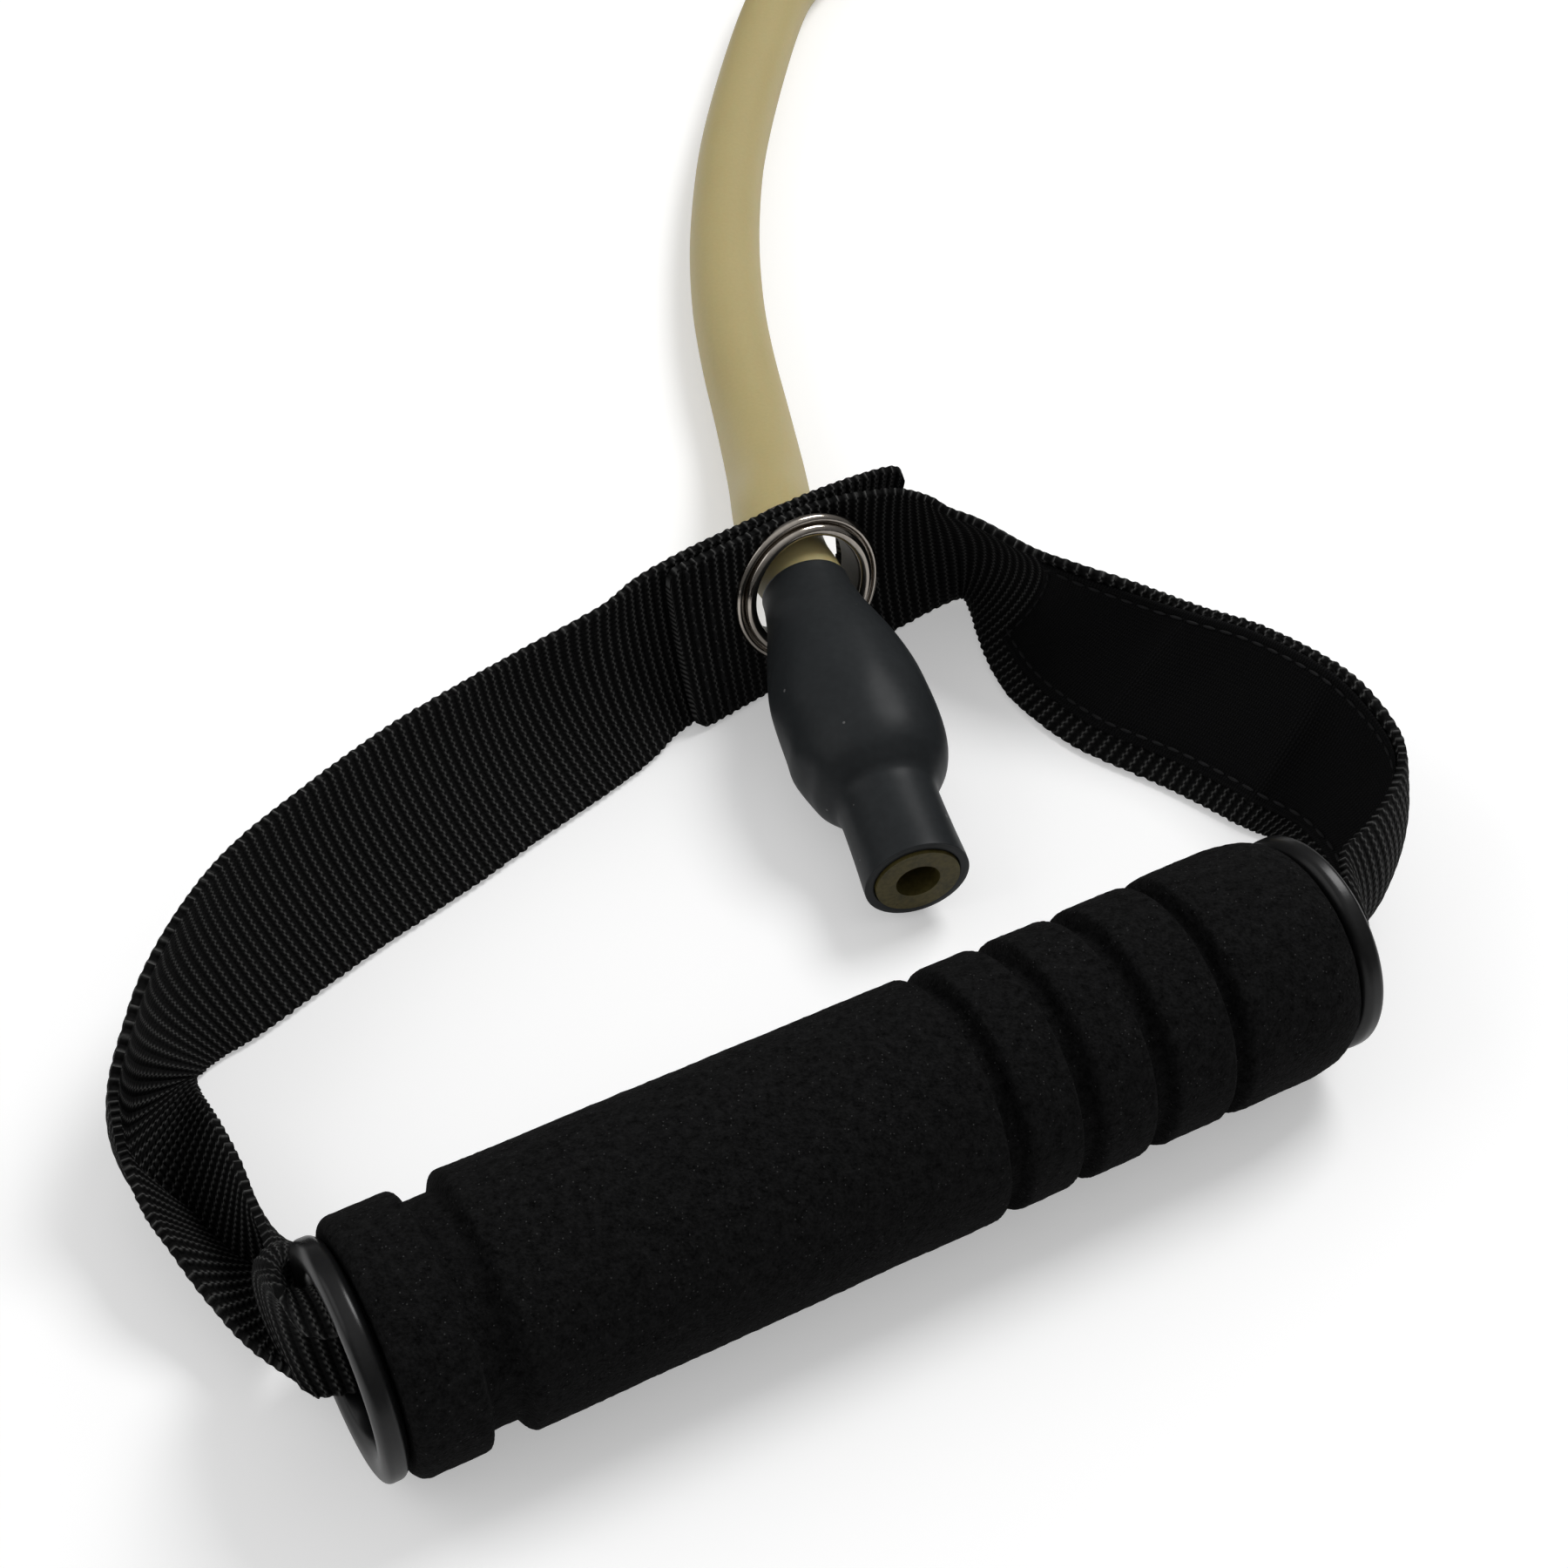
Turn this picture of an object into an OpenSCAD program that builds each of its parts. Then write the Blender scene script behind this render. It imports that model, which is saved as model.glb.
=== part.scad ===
// Resistance band: rubber tube with a webbing strap handle at each end. Millimetres, +Z up.
// Origin: centre of the band on the floor. +Y runs from handle A to handle B.

/* [Output] */
// Which sub-part to draw

/* [Tube] */
// Outside diameter of the tube
tube_diameter = 12; // [8:0.5:16]
// Inside diameter of the tube
tube_bore = 6; // [3:0.5:10]
// Mean radius of the stored coil
coil_radius = 57.5; // [50:0.5:70]

/* [Strap] */
// Width of the webbing
strap_width = 26; // [20:0.5:32]
// Thickness of the webbing
strap_thickness = 1.5; // [1:0.1:2.5]
// Thickness of the sewn label
label_thickness = 0.5; // [0.3:0.1:1]

/* [Grip] */
// Outside diameter of the foam
foam_diameter = 30; // [26:0.5:36]
// Distance between the two end ring centres
grip_length = 125; // [110:1:140]
// Hole through the end rings
ring_bore = 19.2; // [17:0.1:21]
// Height of the grip axis above the floor
grip_height = 15.2; // [13:0.1:18]

/* [Eyelet] */
// Outside diameter of the eyelet flange
eyelet_diameter = 22.8; // [18:0.2:26]
// Clear hole of the eyelet
eyelet_hole = 16.6; // [12:0.2:18]

/* [Hidden] */

foam_color = "#2b2c2e";
core_color = "#77797c";
ring_color = "#3a3b3d";
strap_color = "#202022";
label_color = "#141416";
thread_color = "#3c3d3f";
metal_color = "#c9ccd0";
plug_color = "#55565a";
tube_color = "#a79f68";
sleeve_color = "#1d1e20";
tie_color = "#101112";

tube_r = tube_diameter / 2;
half_grip = grip_length / 2 + 0.5;
foam_r = foam_diameter / 2;
bore_line = ring_bore / 2 - strap_thickness / 2 - 0.45;
ring_curve = 1.35;
ring_curve_r = foam_r - 1.2 - ring_curve;

// Pose of handle A in the part frame.
handle_pos = [10, -285, 0];
handle_turn = 28.6;

// Centre of the eyelet and the line of the sleeve, in handle coordinates.
eyelet_centre = [42.3, 91.95, 14.6];
eyelet_lean = 80;
sleeve_start = [42.3, 90.9, 15.1];
sleeve_tip = [30.1, 37.4, 8.2];

sleeve_line = sleeve_tip - sleeve_start;
sleeve_length = norm(sleeve_line);

// One strap station through the grip: chord turned about the grip axis and shifted along Y.
function bore_station(x, a, shift) = [
  [x, shift - bore_line * cos(a), grip_height - bore_line * sin(a)],
  [x, shift + bore_line * cos(a), grip_height + bore_line * sin(a)],
  [0, -sin(a), cos(a)],
  0
];

// Strap stations: lower edge, upper edge, bulge direction, crease amount.
front_panel = [
  [[22, 84.5, 0.5], [20.5, 90.1, 25.7], [0, 1, 0], 0],
  [[34, 87, 0.5], [33.5, 91.7, 26], [0, 1, 0], 0],
  [[46, 89, 0.5], [45.5, 93.5, 26], [0, 1, 0], 0],
  [[58, 90.5, 0.5], [56.5, 91.2, 25.8], [0.1, 1, 0], 0],
  [[66, 92, 0.5], [60.7, 88, 25.3], [0.5, 0.8, 0], 0],
  [[70.5, 92, 0.5], [62.8, 85.5, 24], [0.9, 0.4, 0], 0],
  [[70, 88.5, 0.5], [65.3, 81.9, 23.4], [1, 0, 0], 0]
];
right_leg = [
  [[67.5, 82, 0.5], [68.8, 74.6, 22.6], [1, 0, 0], 0],
  [[65.5, 75, 0.5], [72.5, 68.6, 22.5], [1, 0, 0], 0],
  [[64.8, 67.6, 0.5], [78.5, 62.5, 21.2], [1, 0, 0], 0],
  [[67.2, 55.9, 0.5], [84.1, 55.7, 20.2], [1, 0, 0], 0],
  [[73.6, 43.2, 0.5], [90, 46.4, 20.4], [1, 0, 0], 0],
  [[78.2, 32.2, 0.5], [92.7, 33, 22], [1, 0, 0], 0],
  [[81, 26.4, 0.5], [90.7, 19.5, 22.5], [1, -0.3, 0], 0],
  [[80.2, 19.5, 1], [85.9, 13, 22.5], [0.7, -0.7, 0], 0],
  [[76, 13.8, 2], [77.9, 7.8, 22.8], [0.3, -1, 0], 0],
  [[70.8, 9.8, 3.5], [71, 5, 23], [0, -1, 0], 0]
];
inside_grip = [for (i = [0:8]) bore_station(65 - 16.25 * i, 105 + 22.4 * i, i == 0 ? 0.8 : 0)];
left_leg = [
  [[-66.3, 7.8, 20.4], [-67, 5.2, 7], [-0.1, 0.95, -0.1], 0],
  [[-65.8, 14.5, 16.8], [-70.5, 12.5, 7], [0.5, 0.3, -0.8], 0.4],
  [[-64.6, 21, 14.3], [-72.7, 20.5, 8.2], [0.2, 0.1, -0.95], 0.8],
  [[-64.2, 26.8, 13.8], [-74.2, 26.8, 11], [0, 0, -1], 1],
  [[-63.7, 33, 12.9], [-75, 31.5, 11.8], [0, 0, -1], 1],
  [[-63.6, 41, 11.5], [-75, 38, 13], [0, 0, -1], 1],
  [[-63, 50.5, 5.5], [-74.4, 41.8, 15.5], [-0.3, 0, -0.9], 0.7],
  [[-62, 57, 0.8], [-73, 45.8, 18.3], [-0.7, 0.1, -0.7], 0.4],
  [[-60.5, 58.5, 0.5], [-69.7, 49.3, 21.8], [-0.8, 0.5, -0.2], 0.1],
  [[-57.5, 59.5, 0.5], [-64.8, 55.3, 23.8], [-0.6, 0.8, 0], 0]
];
back_panel = [
  [[-52, 60.7, 0.5], [-58, 62.3, 24.5], [-0.3, 1, 0], 0],
  [[-42.5, 64, 0.5], [-49.3, 69.6, 24], [-0.3, 1, 0], 0],
  [[-32, 67.5, 0.5], [-38, 75.6, 23.5], [-0.3, 1, 0], 0],
  [[-18.5, 71.5, 0.5], [-24.5, 81.6, 23], [-0.3, 1, 0], 0],
  [[-8, 75, 0.5], [-13, 84.7, 23.2], [-0.3, 1, 0], 0],
  [[4.5, 78.9, 0.5], [-1.2, 87.7, 23], [-0.3, 1, 0], 0],
  [[13, 82, 0.5], [10.5, 89.4, 24], [-0.2, 1, 0], 0],
  [[19, 85.4, 0.5], [17, 91.3, 25.2], [0, 1, 0], 0],
  [[26, 87.6, 0.5], [25, 92.9, 25.7], [0, 1, 0], 0],
  [[34, 89.3, 0.5], [33.5, 94, 26], [0, 1, 0], 0],
  [[46, 91.2, 0.5], [45.5, 95.7, 26], [0, 1, 0], 0],
  [[56, 93, 0.5], [55.5, 96.4, 25.6], [0, 1, 0], 0],
  [[63.5, 94.6, 0.8], [61.4, 95.6, 25.6], [0, 1, 0], 0]
];
STATIONS = concat(front_panel, right_leg, inside_grip, left_leg, back_panel);
LAST = len(STATIONS) - 1;

function unit(v) = v / norm(v);
function clamp(v, a, b) = min(max(v, a), b);
function spline(a, b, c, d, t) =
  0.5 * (2 * b + (c - a) * t + (2 * a - 5 * b + 4 * c - d) * t * t
  + (3 * b - a - 3 * c + d) * t * t * t);

// Station k of a list, held at both ends.
function held(list, k) = list[clamp(k, 0, len(list) - 1)];

// Value on a list of points at running number u.
function along(list, u) =
  let (i = min(floor(u), len(list) - 2), t = u - i)
  spline(held(list, i - 1), held(list, i), held(list, i + 1), held(list, i + 2), t);

LOW = [for (s = STATIONS) s[0]];
HIGH = [for (s = STATIONS) s[1]];
SIDE = [for (s = STATIONS) s[2]];
CREASE = [for (s = STATIONS) s[3]];

// Section of the strap at u: middle, unit chord, bulge direction, chord length, crease.
function section_at(u) =
  let (
    a = along(LOW, u),
    b = along(HIGH, u),
    i = min(floor(u), LAST - 1),
    raw = SIDE[i] + (SIDE[i + 1] - SIDE[i]) * (u - i),
    chord = norm(b - a),
    c = (b - a) / chord
  )
  [(a + b) / 2, c, unit(raw - c * (raw * c)), chord, clamp(along(CREASE, u), 0, 1)];

// Middle surface of the strap at u along and f across.
function strap_point(u, f) =
  let (
    s = section_at(u),
    k = min(s[3] / strap_width, 0.9995),
    half = sqrt(10 - sqrt(max(100 - 120 * (1 - k), 0))),
    turn = half * 180 / PI,
    radius = strap_width / (2 * half),
    phi = turn * (2 * f - 1),
    peak = sqrt(max(strap_width * strap_width - s[3] * s[3], 0)) / 2,
    round_s = radius * sin(phi),
    round_h = radius * (cos(phi) - cos(turn)),
    fold_s = (f - 0.5) * s[3],
    fold_h = peak * (1 - abs(2 * f - 1)),
    q = s[4]
  )
  s[0] + s[1] * (round_s * (1 - q) + fold_s * q) + s[2] * (round_h * (1 - q) + fold_h * q);

// Surface normal of the strap at u, f, on the bulge side.
function strap_normal(u, f) =
  let (
    du = strap_point(min(u + 0.1, LAST), f) - strap_point(max(u - 0.1, 0), f),
    df = strap_point(u, min(f + 0.05, 1)) - strap_point(u, max(f - 0.05, 0)),
    n = unit(cross(du, df))
  )
  n * sign(n * section_at(u)[2] + 0.0001);

// Solid patch that follows the strap between two depths.
module strap_patch(u0, u1, f0, f1, d0, d1, nu, nf) {
  row = nf + 1;
  grid = [for (i = [0:nu]) for (j = [0:nf]) [u0 + (u1 - u0) * i / nu, f0 + (f1 - f0) * j / nf]];
  near = [for (g = grid) strap_point(g[0], g[1]) + strap_normal(g[0], g[1]) * d0];
  far = [for (g = grid) strap_point(g[0], g[1]) + strap_normal(g[0], g[1]) * d1];
  all_faces = patch_faces(nu, nf, row, (nu + 1) * row);
  polyhedron(points = concat(near, far), faces = all_faces);
}

function patch_faces(nu, nf, row, top) = concat(
  [for (i = [0:nu - 1]) for (j = [0:nf - 1]) for (k = [0:1])
    let (a = i * row + j, b = a + 1, c = a + row + 1, d = a + row)
    k == 0 ? [a, b, c] : [a, c, d]],
  [for (i = [0:nu - 1]) for (j = [0:nf - 1]) for (k = [0:1])
    let (a = top + i * row + j, b = a + 1, c = a + row + 1, d = a + row)
    k == 0 ? [a, c, b] : [a, d, c]],
  [for (i = [0:nu - 1]) for (k = [0:1])
    let (a = i * row, d = a + row)
    k == 0 ? [a, d, top + d] : [a, top + d, top + a]],
  [for (i = [0:nu - 1]) for (k = [0:1])
    let (a = i * row + nf, d = a + row)
    k == 0 ? [a, top + d, d] : [a, top + a, top + d]],
  [for (j = [0:nf - 1]) for (k = [0:1])
    let (a = j, b = j + 1)
    k == 0 ? [a, top + b, b] : [a, top + a, top + b]],
  [for (j = [0:nf - 1]) for (k = [0:1])
    let (a = nu * row + j, b = a + 1)
    k == 0 ? [a, b, top + b] : [a, top + b, top + a]]
);

// Swept round tube through hand placed points.
module tube_sweep(route, steps, sides, radius) {
  last = (len(route) - 1) * steps;
  line = [for (i = [0:last]) along(route, i / steps)];
  head = [for (i = [0:last]) unit(line[min(i + 1, last)] - line[max(i - 1, 0)])];
  rings = [for (i = [0:last]) for (k = [0:sides - 1])
    let (
      e = unit(cross(head[i], [0, 0, 1])),
      g = cross(head[i], e),
      a = 360 * (k + 0.5) / sides
    )
    line[i] + radius * (cos(a) * e + sin(a) * g)];
  skin = [for (i = [0:last - 1]) for (k = [0:sides - 1]) for (h = [0:1])
    let (
      a = i * sides + k,
      b = i * sides + (k + 1) % sides,
      c = b + sides,
      d = a + sides
    )
    h == 0 ? [a, c, b] : [a, d, c]];
  caps = [
    [for (k = [0:sides - 1]) k],
    [for (k = [0:sides - 1]) last * sides + sides - 1 - k]
  ];
  polyhedron(points = rings, faces = concat(skin, caps));
}

module at_a() {
  translate(handle_pos) rotate([0, 0, handle_turn]) children();
}

module at_b() {
  rotate([0, 0, 180]) at_a() children();
}

// Places children on the grip axis, x along the grip.
module on_grip() {
  translate([0, 0, grip_height]) rotate([0, 90, 0]) children();
}

// Places children on the eyelet axis, +Z out of the front face.
module on_eyelet() {
  translate(eyelet_centre) rotate([eyelet_lean, 0, 0]) children();
}

// Places children on the sleeve axis, +Z from the eyelet to the tip.
module on_sleeve() {
  turn = atan2(sleeve_line[1], sleeve_line[0]);
  fall = acos(sleeve_line[2] / sleeve_length);
  translate(sleeve_start) rotate([0, fall, turn]) children();
}

module strap_shape() {
  difference() {
    strap_patch(0, LAST, 0, 1, -strap_thickness / 2, strap_thickness / 2, 2 * LAST, 4);
    on_eyelet() cylinder(r = eyelet_hole / 2 + 1, h = 14, center = true, $fn = 48);
  }
}

module label_shape() {
  near = -strap_thickness / 2 - 0.05;
  strap_patch(7.4, 14.6, 0.15, 0.96, near - label_thickness, near, 15, 4);
}

module stitch_shape() {
  for (u = [0.28, 0.5]) {
    for (k = [0:5]) {
      f = 0.12 + 0.145 * k;
      strap_patch(u, u + 0.06, f, f + 0.075, -strap_thickness / 2 - 0.4, -strap_thickness / 2 - 0.03, 1, 1);
    }
  }
}

module foam_shape() {
  main = foam_r;
  low = foam_r - 2;
  on_grip() rotate_extrude($fn = 48) polygon([
    [11.6, -60.9], [13.8, -60.9], [14.6, -60.4], [14.9, -59.5], [14.9, -52.6],
    [13.2, -51.9], [13.2, -48.2], [main, -47.4], [main, 10.7],
    [low, 11.4], [low, 13.5], [main, 14.4], [main, 20.3],
    [low, 21], [low, 23.2], [main, 24.1], [main, 30.3],
    [low, 31.2], [low, 33.4], [main, 34.2], [main, 41.4],
    [low, 42.1], [low, 43.6], [main + 0.2, 44.6], [main + 0.2, 54.5],
    [14.9, 57.8], [14.2, 59.9], [13.3, 60.9], [11.6, 60.9]
  ]);
}

module core_shape() {
  on_grip() difference() {
    cylinder(r = 11.55, h = 120, center = true, $fn = 48);
    cylinder(r = 10.75, h = 124, center = true, $fn = 48);
  }
}

// End ring with its spigot; side is -1 or 1.
module ring_shape(side) {
  on_grip() rotate([side < 0 ? 180 : 0, 0, 0]) rotate_extrude($fn = 48) union() {
    translate([ring_curve_r, half_grip]) circle(r = ring_curve, $fn = 20);
    translate([ring_bore / 2, half_grip - 14.5]) square([0.9, 14.5]);
    translate([ring_bore / 2, half_grip - 1.9]) square([ring_curve_r - ring_bore / 2, 2.4]);
  }
}

module eyelet_front_shape() {
  inner = eyelet_hole / 2;
  outer = eyelet_diameter / 2;
  on_eyelet() rotate_extrude($fn = 48) polygon([
    [inner, -3.3], [inner + 0.75, -3.3], [inner + 0.75, 2.2], [outer - 0.3, 2.2],
    [outer, 2.5], [outer - 0.2, 3], [outer - 0.9, 3.3], [inner + 2, 3],
    [inner + 1.6, 3.6], [inner + 0.9, 3.9], [inner + 0.3, 3.6], [inner, 3]
  ]);
}

module eyelet_back_shape() {
  inner = eyelet_hole / 2 + 0.8;
  outer = eyelet_diameter / 2;
  on_eyelet() rotate_extrude($fn = 48) polygon([
    [inner, -3.2], [outer - 0.8, -3.2], [outer, -2.7], [outer, -2.2], [inner, -2.2]
  ]);
}

module tube_end_shape() {
  bore = tube_bore / 2;
  neck = tube_r - 0.1;
  tip = tube_r - 0.3;
  on_sleeve() rotate_extrude($fn = 40) polygon([
    [bore, 0.05], [neck, 0.05], [neck, 18], [8.2, 25], [8.2, 34], [tip, 39.5],
    [tip, sleeve_length - 0.2], [bore, sleeve_length - 0.2], [bore, 39.5],
    [5.7, 34], [5.7, 25], [bore, 18]
  ]);
}

module plug_shape() {
  on_sleeve() rotate_extrude($fn = 40) polygon([
    [0, 21.5], [3.5, 21.5], [5.6, 25.2], [5.6, 33.8], [3.5, 36], [0, 36]
  ]);
}

module sleeve_shape() {
  on_sleeve() rotate_extrude($fn = 48) polygon([
    [5.95, 2], [6.45, 2], [6.6, 4.5], [7.6, 8.4], [9.7, 15.9], [10.5, 21.2], [10.9, 28.8],
    [10.4, 34.4], [9.4, 38.2], [8.2, 40.1], [7.1, 41], [6.9, 42.4], [7.1, sleeve_length],
    [5.75, sleeve_length], [5.75, 39.7], [8.3, 34.1], [8.3, 24.9], [5.95, 17.9]
  ]);
}

// Route of the tube from the eyelet of handle A to the coil.
route_a = [
  [3.6, -185, 15.1], [1.6, -180.3, 15.3], [-0.2, -170, 14], [-1.4, -154, 9.4],
  [-3.6, -135, 6.1], [-6.4, -117, 6.1], [-8.4, -99, 6.1], [-9.2, -77, 6.1], [-8.2, -51, 6.1],
  [-4.6, -20, 6.1], [0, 7, 6.1], [5.6, 23, 6.1]
];
// Route of the tube from the coil to the eyelet of handle B.
route_b = [[8.6, 166.6, 15.4], [3, 174.6, 15.2], [-1.6, 180.3, 15.3], [-3.6, 185, 15.1]];
coil_centre = [-18.5, 97, 0];

// A handle
module foam_grip_a() { color(foam_color) at_a() foam_shape(); }
module core_tube_a() { color(core_color) at_a() core_shape(); }
module end_ring_left_a() { color(ring_color) at_a() ring_shape(-1); }
module end_ring_right_a() { color(ring_color) at_a() ring_shape(1); }
module strap_a() { color(strap_color) at_a() strap_shape(); }
module label_a() { color(label_color) at_a() label_shape(); }
module strap_stitching_a() { color(thread_color) at_a() stitch_shape(); }
module eyelet_front_a() { color(metal_color) at_a() eyelet_front_shape(); }
module eyelet_back_a() { color(metal_color) at_a() eyelet_back_shape(); }
module stopper_plug_a() { color(plug_color) at_a() plug_shape(); }
module tube_end_a() { color(tube_color) at_a() tube_end_shape(); }
module sleeve_a() { color(sleeve_color) at_a() sleeve_shape(); }

// B handle
module foam_grip_b() { color(foam_color) at_b() foam_shape(); }
module core_tube_b() { color(core_color) at_b() core_shape(); }
module end_ring_left_b() { color(ring_color) at_b() ring_shape(-1); }
module end_ring_right_b() { color(ring_color) at_b() ring_shape(1); }
module strap_b() { color(strap_color) at_b() strap_shape(); }
module label_b() { color(label_color) at_b() label_shape(); }
module strap_stitching_b() { color(thread_color) at_b() stitch_shape(); }
module eyelet_front_b() { color(metal_color) at_b() eyelet_front_shape(); }
module eyelet_back_b() { color(metal_color) at_b() eyelet_back_shape(); }
module stopper_plug_b() { color(plug_color) at_b() plug_shape(); }
module tube_end_b() { color(tube_color) at_b() tube_end_shape(); }
module sleeve_b() { color(sleeve_color) at_b() sleeve_shape(); }

module tube_run_a() { color(tube_color) tube_sweep(route_a, 3, 12, tube_r); }
module tube_run_b() { color(tube_color) tube_sweep(route_b, 3, 12, tube_r); }

module tube_coil() {
  color(tube_color) translate(coil_centre) rotate_extrude($fn = 72)
    translate([coil_radius, 12]) offset(r = 5, $fn = 16) square([14, 12], center = true);
}

module coil_tie() {
  color(tie_color) translate(coil_centre + [-coil_radius, 0, 12]) difference() {
    cube([26.4, 6, 24], center = true);
    cube([24.8, 8, 22.4], center = true);
  }
}

foam_grip_a();
core_tube_a();
end_ring_left_a();
end_ring_right_a();
strap_a();
label_a();
strap_stitching_a();
eyelet_front_a();
eyelet_back_a();
stopper_plug_a();
tube_end_a();
sleeve_a();
foam_grip_b();
core_tube_b();
end_ring_left_b();
end_ring_right_b();
strap_b();
label_b();
strap_stitching_b();
eyelet_front_b();
eyelet_back_b();
stopper_plug_b();
tube_end_b();
sleeve_b();
tube_run_a();
tube_coil();
tube_run_b();
coil_tie();
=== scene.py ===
"""Looks of a resistance band: two strap handles, a rubber tube, its coil and its tie."""
import logging
import math
from dataclasses import dataclass, field
from enum import Enum
from functools import cache
from typing import Callable, Sequence

import bpy
import numpy as np
from mathutils import Matrix, Vector, noise


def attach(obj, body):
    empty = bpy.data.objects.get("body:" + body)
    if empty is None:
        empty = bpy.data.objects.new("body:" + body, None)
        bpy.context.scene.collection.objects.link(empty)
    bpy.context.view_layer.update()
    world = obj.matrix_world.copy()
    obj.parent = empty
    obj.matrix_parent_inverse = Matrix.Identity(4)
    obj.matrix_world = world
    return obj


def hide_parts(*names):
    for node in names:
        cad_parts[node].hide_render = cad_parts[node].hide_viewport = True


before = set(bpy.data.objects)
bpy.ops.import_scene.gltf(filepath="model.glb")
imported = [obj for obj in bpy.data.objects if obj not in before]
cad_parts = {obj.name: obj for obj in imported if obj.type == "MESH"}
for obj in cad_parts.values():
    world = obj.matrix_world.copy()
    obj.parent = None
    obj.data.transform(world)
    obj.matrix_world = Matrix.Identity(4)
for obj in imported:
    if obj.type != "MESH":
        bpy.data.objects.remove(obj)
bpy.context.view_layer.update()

LOG = logging.getLogger("band")
MM = 0.001
HANDLE_PLACE = (10.0, -285.0, 0.0)
HANDLE_TURN = math.radians(28.6)

Color = tuple[float, float, float]
Point = tuple[float, float, float]


# ---- layout

class Side(Enum):
    """The two handles."""

    A = "a"
    B = "b"

    def matrix(self) -> np.ndarray:
        """Return the 4 x 4 placement of the handle, millimetres in and out."""
        pose = Matrix.Translation(HANDLE_PLACE) @ Matrix.Rotation(HANDLE_TURN, 4, "Z")
        if self is Side.B:
            pose = Matrix.Rotation(math.pi, 4, "Z") @ pose
        return np.array(pose)

    def place(self, points: np.ndarray) -> np.ndarray:
        """Carry handle points in millimetres to the part frame in metres.

        Args:
            points: array of shape (n, 3), millimetres.

        Returns:
            Array of shape (n, 3), metres.
        """
        pose = self.matrix()
        return (points @ pose[:3, :3].T + pose[:3, 3]) * MM

    def node(self, name: str) -> str:
        """Return the CAD node or body name that belongs to this handle."""
        return f"{name}_{self.value}"


# Places on a handle, millimetres: X along the grip, Y from the grip to the eyelet.
EYELET = np.array([42.3, 91.95, 14.6])
SLEEVE_START = np.array([42.3, 90.9, 15.1])
EYELET_LEAN = math.radians(80.0)
SLEEVE_TIP = np.array([30.1, 37.4, 8.2])
GRIP_HEIGHT = 15.2
BORE_LINE = 8.4  # half the strap's width where it is rolled inside the grip


def axis_frame(origin: Sequence[float], direction: Sequence[float]) -> np.ndarray:
    """Return a 4 x 4 matrix whose local Z runs along a direction.

    Args:
        origin: place of the local origin.
        direction: vector of any length.

    Returns:
        The matrix as an array.
    """
    turn = Vector(direction).to_track_quat("Z", "Y").to_matrix().to_4x4()
    return np.array(Matrix.Translation(Vector(origin)) @ turn)


GRIP_AXIS = axis_frame((0.0, 0.0, GRIP_HEIGHT), (1.0, 0.0, 0.0))
SLEEVE_AXIS = axis_frame(SLEEVE_START, SLEEVE_TIP - SLEEVE_START)
EYELET_AXIS = axis_frame(EYELET, (0.0, -math.sin(EYELET_LEAN), math.cos(EYELET_LEAN)))
SLEEVE_LENGTH = float(np.linalg.norm(SLEEVE_TIP - SLEEVE_START))


# ---- curves

def spline(points: np.ndarray, u: np.ndarray) -> np.ndarray:
    """Follow a list of points smoothly.

    Args:
        points: array of shape (n, k).
        u: running numbers from 0 to n - 1.

    Returns:
        Array of shape (len(u), k).
    """
    last = len(points) - 1
    i = np.minimum(np.floor(u).astype(int), last - 1)
    t = (u - i)[:, None]
    a, b = points[np.maximum(i - 1, 0)], points[i]
    c, d = points[i + 1], points[np.minimum(i + 2, last)]
    return 0.5 * (2 * b + (c - a) * t + (2 * a - 5 * b + 4 * c - d) * t ** 2
                  + (3 * b - a - 3 * c + d) * t ** 3)


def unit(vectors: np.ndarray) -> np.ndarray:
    """Return the vectors scaled to length one."""
    return vectors / np.maximum(np.linalg.norm(vectors, axis=-1, keepdims=True), 1e-9)


def hill(x: float | np.ndarray, middle: float, spread: float) -> float | np.ndarray:
    """Return a smooth hill of height one."""
    return np.exp(-((x - middle) / spread) ** 2)


SIDE_SHARE = 0.45  # most of a side that one rounding takes
SHARP = 1e-3  # roundings below this stay sharp


def rounded(corners: Sequence[Point], steps: int = 4) -> np.ndarray:
    """Round the corners of a closed outline.

    Args:
        corners: (radius, height, rounding) of each corner.
        steps: points on each rounding.

    Returns:
        Array of (radius, height) points.
    """
    out: list[np.ndarray] = []
    pts = np.array([c[:2] for c in corners], float)
    for k, (_, _, r) in enumerate(corners):
        p = pts[k]
        a, b = pts[k - 1] - p, pts[(k + 1) % len(pts)] - p
        la, lb = np.linalg.norm(a), np.linalg.norm(b)
        cut = min(r, SIDE_SHARE * la, SIDE_SHARE * lb)
        if cut < SHARP:
            out.append(p)
            continue
        start, end = p + a / la * cut, p + b / lb * cut
        for t in np.linspace(0.0, 1.0, steps + 1):
            out.append((1 - t) ** 2 * start + 2 * t * (1 - t) * p + t * t * end)
    return np.array(out)


def densify(outline: np.ndarray, step: float, inner_radius: float = 12.0,
            inner_step: float = 6.0) -> np.ndarray:
    """Add points to the long stretches of a closed outline.

    Args:
        outline: closed outline of (radius, height) points.
        step: longest stretch kept, in millimetres.
        inner_radius: stretches inside this radius are hidden.
        inner_step: longest hidden stretch kept.

    Returns:
        The denser outline.
    """
    out = []
    for a, b in zip(outline, np.roll(outline, -1, axis=0)):
        limit = inner_step if max(a[0], b[0]) < inner_radius else step
        parts = max(int(np.linalg.norm(b - a) / limit), 1)
        out.extend(a + (b - a) * k / parts for k in range(parts))
    return np.array(out)


# ---- meshes

def add_object(name: str, data: bpy.types.ID) -> bpy.types.Object:
    """Return a new object, linked to the scene."""
    made = bpy.data.objects.new(name, data)
    bpy.context.scene.collection.objects.link(made)
    return made


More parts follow.
